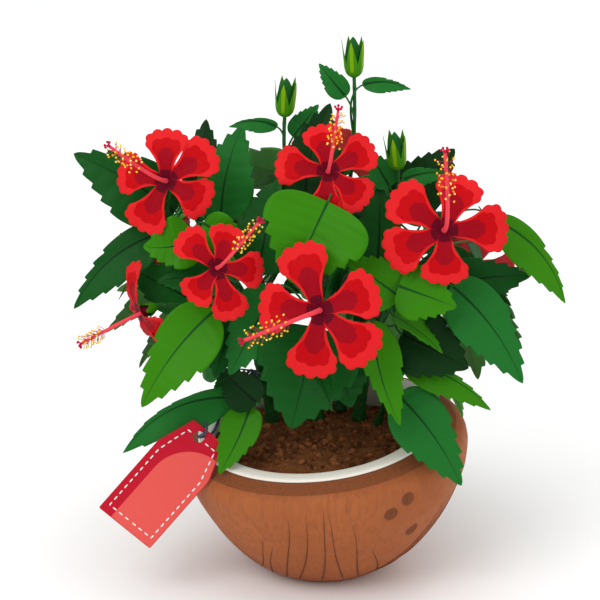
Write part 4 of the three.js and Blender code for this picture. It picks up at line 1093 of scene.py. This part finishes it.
def make_husk_looks():
    look = Look("coconut_husk", (166, 96, 58), 0.62, specular=0.12)
    broad = look.blend(linear((156, 87, 48)), (168, 97, 55), 14, 3, 0.3, 0.7)
    look.blend(broad, (146, 82, 48), 90, 5, 0.42, 0.75, (3, 3, 0.22))
    look.bump(120, 0.35, 0.0012, (3, 3, 0.25))
    look.bump(700, 0.25, 0.0004)
    look.roughen(60, 0.52, 0.7)
    # painted shade: a darker brown for the strip of the shoulder below the rim
    husk_look("husk_painted_shade_band", (134, 76, 44))
    husk_look("husk_inside", (120, 72, 44))
    husk_look("husk_pore", (122, 68, 40))
    husk_look("husk_fibre", (112, 62, 36), 300)


def shell_radius(h):
    return np.interp(h, OUTSIDE[:, 1], OUTSIDE[:, 0])


def on_shell(h, heading, out=0.0):
    """A point of the shell's outside, moved out from it"""
    p, q = pot_point(shell_radius(h), heading, h), pot_point(shell_radius(h + 1), heading, h + 1)
    sideways = lean @ vec(-math.sin(heading), math.cos(heading), 0)
    return p + unit(np.cross(sideways, q - p)) * out


def make_shell():
    """The husk: relief all over, a dent under each pore, and a darker strip of painted shade below the rim"""
    piece = Piece("husk_shell", "coconut_husk", "husk_painted_shade_band", "husk_inside")
    outside = OUTSIDE[OUTSIDE[:, 1] > SHELL_FOOT]
    middles = [on_shell(h, math.radians(heading)) for heading, h in PORES]
    rows = []
    for r, h in outside:
        row = []
        for a in circle(SHELL_SIDES):
            c, s = math.cos(a), math.sin(a)
            broad = BROAD_RELIEF * rough((22 * c, 22 * s, h / 40), 1)
            fine = FINE_RELIEF * rough((60 * c, 60 * s, h / 16), 1)
            p = pot_point(r + (broad + fine), a, h)
            for middle in middles:
                away = np.linalg.norm(p - middle)
                if away < DENT_REACH:
                    edge = math.exp((away - PORE_RADIUS + DENT_EDGE) / DENT_SLOPE)
                    p = p - lean @ vec(c, s, 0) * PORE_DEPTH / (1 + edge)
            p[2] = max(p[2], 0)
            row.append(p)
        rows.append(row)
    rows += [[pot_point(r, a, h) for a in circle(SHELL_SIDES)] for r, h in RIM_SECTION]
    marks = []
    for (r, h), (_, above) in zip(outside, outside[1:]):
        # painted shade: the strip of the shoulder above this height is coloured darker
        painted_shade_band = (h + above) / 2 > SHADE_BAND_FROM and r < SHADE_BAND_INSIDE
        marks += [piece.mark["husk_painted_shade_band" if painted_shade_band else "coconut_husk"]] * SHELL_SIDES
    marks += [piece.mark["husk_inside"]] * SHELL_SIDES * len(RIM_SECTION)
    piece.wrap(rows, marks)
    foot = [((j + 1) % SHELL_SIDES, j, SHELL_SIDES) for j in range(SHELL_SIDES)]
    piece.add([*rows[0], np.mean(rows[0], axis=0)], foot)
    piece.make("pot_shell", slot="pot_shell")


def make_pores():
    """A smooth dark dish in each dent of the shell"""
    piece = Piece("husk_pores", "husk_pore")
    for heading, h in PORES:
        rows = []
        for share, out in PORE_DISH:
            r, row = share * PORE_RADIUS, []
            for a in circle(40):
                aside = r * math.cos(a) / shell_radius(h)
                row.append(on_shell(h + r * math.sin(a), math.radians(heading) + aside, out))
            rows.append(row)
        piece.wrap(rows)
    piece.make(slot="pot_shell")


LINING_LIP = (
    *((122.8, 152.4), (122.9, 153.1), (122.2, 154.2), (120.6, 155), (118, 155.3)),
    *((112, 155.4), (109.4, 155.2), (107.8, 154.4), (107.1, 153), (107.8, 150)),
)
LINING_WALL = ((110, 145), (114.2, 135), (119, 123.8), (124, 112), (95, 53))
LINING_FOOT = ((62, 24), (2, 24))
LINING_SIDES = 192


def make_lining():
    Look("white_lining", (238, 234, 222), 0.4, (300, 0.12, 0.0004)).roughen(40, 0.34, 0.48)
    piece = Piece("white_lining", "white_lining")
    section = LINING_LIP + LINING_WALL + LINING_FOOT
    piece.wrap([[pot_point(r, a, h) for a in circle(LINING_SIDES)] for r, h in section])
    piece.make("pot_lining", slot="pot_lining")


SOIL_RADIUS, SOIL_DEPTH = 130, 24
SOIL_RINGS, SOIL_SIDES = 80, 200


def soil_height(x, y):
    away = math.hypot(x + 12, y)
    z = np.interp(away, [0, 84, 92, 110, 200], [SOIL_TOP, SOIL_TOP, 133, 127, 126])
    p = vec(x, y, 0)
    return z + 1.1 * rough(p, 24) + 1.3 * rough(p, 9, 3) + 0.8 * rough(p, 3.6, 7) - CLEARANCE


def make_soil():
    look = Look("potting_soil", (88, 52, 28), 0.95, specular=0.1)
    patches = look.blend(linear((106, 63, 35)), (128, 77, 44), 60, 5, 0.4, 0.6)
    look.blend(patches, (84, 49, 27), 210, 4, 0.4, 0.3, (1.3, 0.9, 1))
    look.bump(400, 0.5, 0.0014, detail=6)
    piece = Piece("potting_soil", "potting_soil")
    wall = np.array(LINING_WALL)[::-1]
    rows = []
    for i in range(SOIL_RINGS):
        r = SOIL_RADIUS * i / (SOIL_RINGS - 1) + 0.05
        row = []
        for a in circle(SOIL_SIDES):
            x, y = r * math.cos(a) - 8, r * math.sin(a) - 12
            p = vec(x, y, soil_height(x, y))
            q = lean.T @ p
            q[0] -= bulge(q[2])
            limit = np.interp(q[2], wall[:, 1], wall[:, 0]) + 0.8
            away = math.hypot(q[0], q[1])
            if away > limit:
                q[:2] *= limit / away
                p = lean @ (q + vec(bulge(q[2]), 0, 0))
            row.append(p)
        rows.append(row)
    rows.append([p - vec(0, 0, SOIL_DEPTH) for p in rows[-1]])
    piece.wrap(rows)
    piece.make("soil", slot="soil")


CRUMBS = {"crumb_brown": (118, 70, 39), "crumb_light": (146, 90, 53), "crumb_dark": (86, 50, 28)}
CRUMB_COUNT, CRUMB_REACH, CRUMB_LEAST, CRUMB_SPREAD = 1300, 108, 1.2, 3.4


def make_crumbs():
    """Crumbs of soil in three browns"""
    for name, color in CRUMBS.items():
        Look(name, color, 0.95, (500, 0.5, 0.001), 0.1)
    piece = Piece("soil_crumbs", *CRUMBS)
    for i in range(CRUMB_COUNT):
        a, r = 2 * math.pi * chance(41, i), CRUMB_REACH * math.sqrt(chance(42, i))
        x, y = r * math.cos(a) - 8, r * math.sin(a) - 10
        size = CRUMB_LEAST + CRUMB_SPREAD * chance(43, i) ** 3
        z = soil_height(x, y)
        q = lean.T @ vec(x, y, z)
        if math.hypot(q[0] - bulge(q[2]), q[1]) > CRUMB_REACH:
            continue
        way = unit(vec(chance(44, i) - 0.5, chance(45, i) - 0.5, 0.5))
        draw = chance(46, i)
        shade = "crumb_light" if draw > 0.62 else "crumb_dark" if draw < 0.2 else "crumb_brown"
        ball(piece, vec(x, y, z + 0.15 * size), (size, size * 0.6), shade, way=way)
    piece.make(slot="soil")


# each fibre's place to the right at its top and at its foot, and the height of its top
FIBRES = (
    *((-66, -76, 89), (-59, -64, 81), (-40, -47, 122), (-20, -34, 124)),
    *((0, -14, 137), (1, 8, 127), (22, 26, 110), (40, 44, 71)),
)
FIBRE_FOOT, FIBRE_WAVE, FIBRE_RADIUS = 17, 1.6, 0.85


def make_fibres():
    """Dark fibres down the lower part of the husk, the same on each quarter of it"""
    piece = Piece("husk_fibres", "husk_fibre")
    for quarter in range(4):
        for i, (top_x, foot_x, top) in enumerate(FIBRES):
            points, radii = [], []
            for u in np.arange(36) / 35:
                h = FIBRE_FOOT + (top - FIBRE_FOOT) * u
                x = foot_x + (top_x - foot_x) * u + FIBRE_WAVE * math.sin(5 * u + 1.7 * i + quarter)
                heading = math.pi / 2 * quarter - math.acos(max(min(x / shell_radius(h), 0.95), -0.95))
                points.append(on_shell(h, heading, 0.05))
                radii.append(FIBRE_RADIUS * (1 - u) ** 0.7 * min(u * 9 + 0.2, 1) + 0.1)
            tube(piece, points, radii, 6)
    piece.make(slot="pot_shell")


make_husk_looks()
make_shell()
make_pores()
make_lining()
make_soil()
make_crumbs()
make_fibres()

# Swing tag and its cord

TAG_WIDTH, TAG_LENGTH, TAG_CORNER = 66, 128, (13.5, 38.5)
TAG_THICK, TAG_BEVEL = 0.55, 0.22
HOLE_ASIDE, HOLE_DOWN, HOLE_RADIUS = -4.5, 10, 6.2
TAG_TOP = vec(-125, -92, 175)
TAG_LEAN, TAG_TILT = 41.5, 8
FIELD_LEFT, FIELD_TOP, FIELD_ROUNDING, FIELD_INSET, FIELD_OUT = -18, 18, 43, 0.4, 0.83
STITCH_PITCH, STITCH_OUT = 8, 0.95
STITCH_RADII = (0.25, 0.6, 0.7, 0.7, 0.7, 0.6, 0.25)


def on_tag(right, down, out):
    p = Vector((right, -down, out))
    p.rotate(Matrix.Rotation(math.radians(90 - TAG_TILT), 3, "X"))
    p.rotate(Matrix.Rotation(math.radians(TAG_LEAN), 3, "Y"))
    return np.array(p) + TAG_TOP


def make_tag_looks():
    for name, color in (("card_red", (186, 20, 42)), ("card_coral", (222, 86, 80))):
        Look(name, color, 0.6, (900, 0.18, 0.0003), 0.1).roughen(200, 0.5, 0.66)
    Look("white_thread", (248, 246, 242), 0.7, (1500, 0.4, 0.0003))
    cord = Look("navy_cord", (62, 66, 90), 0.75, (1800, 0.5, 0.0003))
    cord.blend(linear((52, 56, 80)), (74, 78, 104), 800, 2, 0.3, 0.7)


def tag_outline():
    half, (a, b) = TAG_WIDTH / 2, TAG_CORNER
    return [(-half + a, 0), (half - a, 0), (half, b), (half, TAG_LENGTH), (-half, TAG_LENGTH), (-half, b)]


def rounded(points, radius, steps=5):
    """A closed outline with its corners rounded"""
    made = []
    for a, b, c in zip(points[-1:] + points[:-1], points, points[1:] + points[:1]):
        a, b, c = map(np.array, (a, b, c))
        one, two = unit(a - b), unit(c - b)
        angle = math.acos(max(min(one.dot(two), 1), -1))
        back = min(radius / math.tan(angle / 2), 0.45 * min(np.linalg.norm(a - b), np.linalg.norm(c - b)))
        made += [bend([b + one * back, b, b + two * back], k / steps) for k in range(steps + 1)]
    return made


def make_tag():
    """The card, from an outline with a hole"""
    card = Piece("swing_tag_card", "card_red")
    shape = bpy.data.curves.new("card_outline", "CURVE")
    shape.dimensions, shape.fill_mode = "2D", "BOTH"
    shape.extrude, shape.bevel_depth, shape.bevel_resolution = TAG_THICK, TAG_BEVEL, 2
    r = HOLE_RADIUS
    hole = [(HOLE_ASIDE + r * math.cos(a), HOLE_DOWN + r * math.sin(a)) for a in circle(40)]
    for points in (rounded(tag_outline(), 1.6), hole):
        spline = shape.splines.new("POLY")
        spline.points.add(len(points) - 1)
        for target, (x, y) in zip(spline.points, points):
            target.co = (x, -y, 0, 1)
        spline.use_cyclic_u = True
    holder = put("card_outline", shape)
    flat = holder.to_mesh()
    places = [on_tag(v.co[0], -v.co[1], v.co[2]) for v in flat.vertices]
    card.add(places, [tuple(p.vertices) for p in flat.polygons])
    holder.to_mesh_clear()
    bpy.data.objects.remove(holder)
    card.make("tag", slot="tag", smooth=False)


def make_field():
    """The coral field on both faces. It runs off two edges and has one large rounded corner."""
    field = Piece("swing_tag_field", "card_coral")
    points = []
    for a in np.linspace(0, math.pi / 2, 25):
        x, y = FIELD_ROUNDING * (1 - math.cos(a)), FIELD_ROUNDING * (1 - math.sin(a))
        points.append((FIELD_LEFT + x, FIELD_TOP + y))
    right, foot = TAG_WIDTH / 2 - FIELD_INSET, TAG_LENGTH - FIELD_INSET
    points += [(right, TAG_CORNER[1]), (right, foot), (FIELD_LEFT, foot)]
    for out in (FIELD_OUT, -FIELD_OUT):
        faces = [(i, (i + 1) % len(points), len(points)) for i in range(len(points))]
        if out > 0:
            faces = [tuple(reversed(f)) for f in faces]
        field.add([*(on_tag(x, y, out) for x, y in points), on_tag(8, 75, out)], faces)
    field.make(slot="tag", smooth=False)


def make_stitches():
    piece = Piece("swing_tag_stitches", "white_thread")
    half, foot, top = TAG_WIDTH / 2 - 6, TAG_LENGTH - 9, HOLE_DOWN + 1
    for side in (1, -1):
        start = (HOLE_ASIDE + side * (HOLE_RADIUS + 2), top)
        corner = (side * (half - TAG_CORNER[0] + 4), top)
        path = [start, corner, (side * half, TAG_CORNER[1] + 6), (side * half, foot), (0, foot)]
        count = round(spaced(path, [0])[1] / STITCH_PITCH)
        for k in range(count):
            places, _ = spaced(path, np.linspace(k + 0.1, k + 0.7, len(STITCH_RADII)) / count)
            for out in (STITCH_OUT, -STITCH_OUT):
                tube(piece, [on_tag(x, y, out) for x, y in places], STITCH_RADII, 8)
    piece.make(slot="tag")


def cord_path():
    """Out of the tag's hole, over the lip, round the bough and back"""
    bough = limb_curve("bough_low_left")
    held, way = bend(bough, 0.7), slope(bough, 0.7)

    def round_bough(clock, far):
        return held + across(-way, clock)[0] * far

    return [
        on_tag(HOLE_ASIDE, HOLE_DOWN, 0),
        on_tag(HOLE_ASIDE + 1, 1, 4.5),
        vec(-127, -72, 189),
        vec(-112, -52, 198),
        round_bough(255, 7),
        round_bough(0, 5.7),
        round_bough(105, 7),
        vec(-103, -44, 200),
        vec(-112, -66, 188),
        on_tag(HOLE_ASIDE + 9, 0, -6),
    ]


def closed_curve(points, count):
    """Evenly spaced points of a closed smooth curve with centripetal spacing, and its length"""
    fine = []
    for i in range(len(points)):
        four = [points[(i + k) % len(points)] for k in (-1, 0, 1, 2)]
        t = np.cumsum([0, *(np.linalg.norm(b - a) ** 0.5 for a, b in zip(four, four[1:]))])
        for u in t[1] + (t[2] - t[1]) * np.arange(24) / 24:
            level = four
            for spans in (((0, 1), (1, 2), (2, 3)), ((0, 2), (1, 3)), ((1, 2),)):
                pairs = zip(spans, level, level[1:])
                level = [((t[b] - u) * p + (u - t[a]) * q) / (t[b] - t[a]) for (a, b), p, q in pairs]
            fine.append(level[0])
    return spaced([*fine, fine[0]], np.linspace(0, 1, count + 1))


STRANDS, STRAND_RADIUS, STRAND_OUT, CORD_TURN = 3, 0.86, 0.72, 7


def make_cord():
    """Three strands twisted round each other"""
    piece = Piece("navy_cord", "navy_cord")
    path, length = closed_curve(cord_path(), 360)
    turns = round(length / CORD_TURN)
    side = UP
    frames = []
    for way in np.gradient(path, axis=0):
        way = unit(way)
        side = unit(side - way * side.dot(way))
        frames.append((side, np.cross(way, side)))
    for strand in range(STRANDS):
        places = []
        for k, (p, (a, b)) in enumerate(zip(path, frames)):
            angle = 2 * math.pi * (turns * k / (len(path) - 1) + strand / STRANDS)
            places.append(p + STRAND_OUT * swing(a, b, angle))
        tube(piece, places, [STRAND_RADIUS] * len(places), 8)
    piece.make("tag_cord", slot="cord")
    print("cord length, mm:", round(length, 1))


make_tag_looks()
make_tag()
make_field()
make_stitches()
make_cord()

# Floor, light and view

FLOOR_HALF, WORLD_LIGHT, AIM = 6, 0.72, Vector((0, 0, 0.25))
# place, size and power
LAMPS = {
    "key": ((-1.3, -1.9, 2.2), 1.6, 30),
    "top": ((0, 0.2, 2.8), 2.4, 22),
    "fill": ((1.9, -1.6, 1.2), 2.0, 8),
    "back": ((0.8, 2.2, 1.8), 1.6, 10),
}


def make_studio():
    Look("studio_floor", (252, 252, 252), 0.9, specular=0).roughen(5, 0.85, 0.95)
    mesh = bpy.data.meshes.new("studio_floor")
    corners = [(x * FLOOR_HALF, y * FLOOR_HALF, 0) for x, y in ((-1, -1), (1, -1), (1, 1), (-1, 1))]
    mesh.from_pydata(corners, [], [(0, 1, 2, 3)])
    mesh.materials.append(looks["studio_floor"])
    floor = put("studio_floor", mesh)
    world = bpy.data.worlds.new("studio")
    world.use_nodes = True
    background = world.node_tree.nodes["Background"].inputs
    background["Color"].default_value = (1, 1, 1, 1)
    background["Strength"].default_value = WORLD_LIGHT
    bpy.context.scene.world = world
    for name, (place, size, power) in LAMPS.items():
        data = bpy.data.lights.new(name, "AREA")
        data.size, data.energy = size, power
        lamp = put(name, data)
        lamp.location = place
        lamp.rotation_euler = (AIM - Vector(place)).to_track_quat("-Z", "Y").to_euler()
    bpy.context.scene.view_settings.view_transform = "Standard"


make_studio()
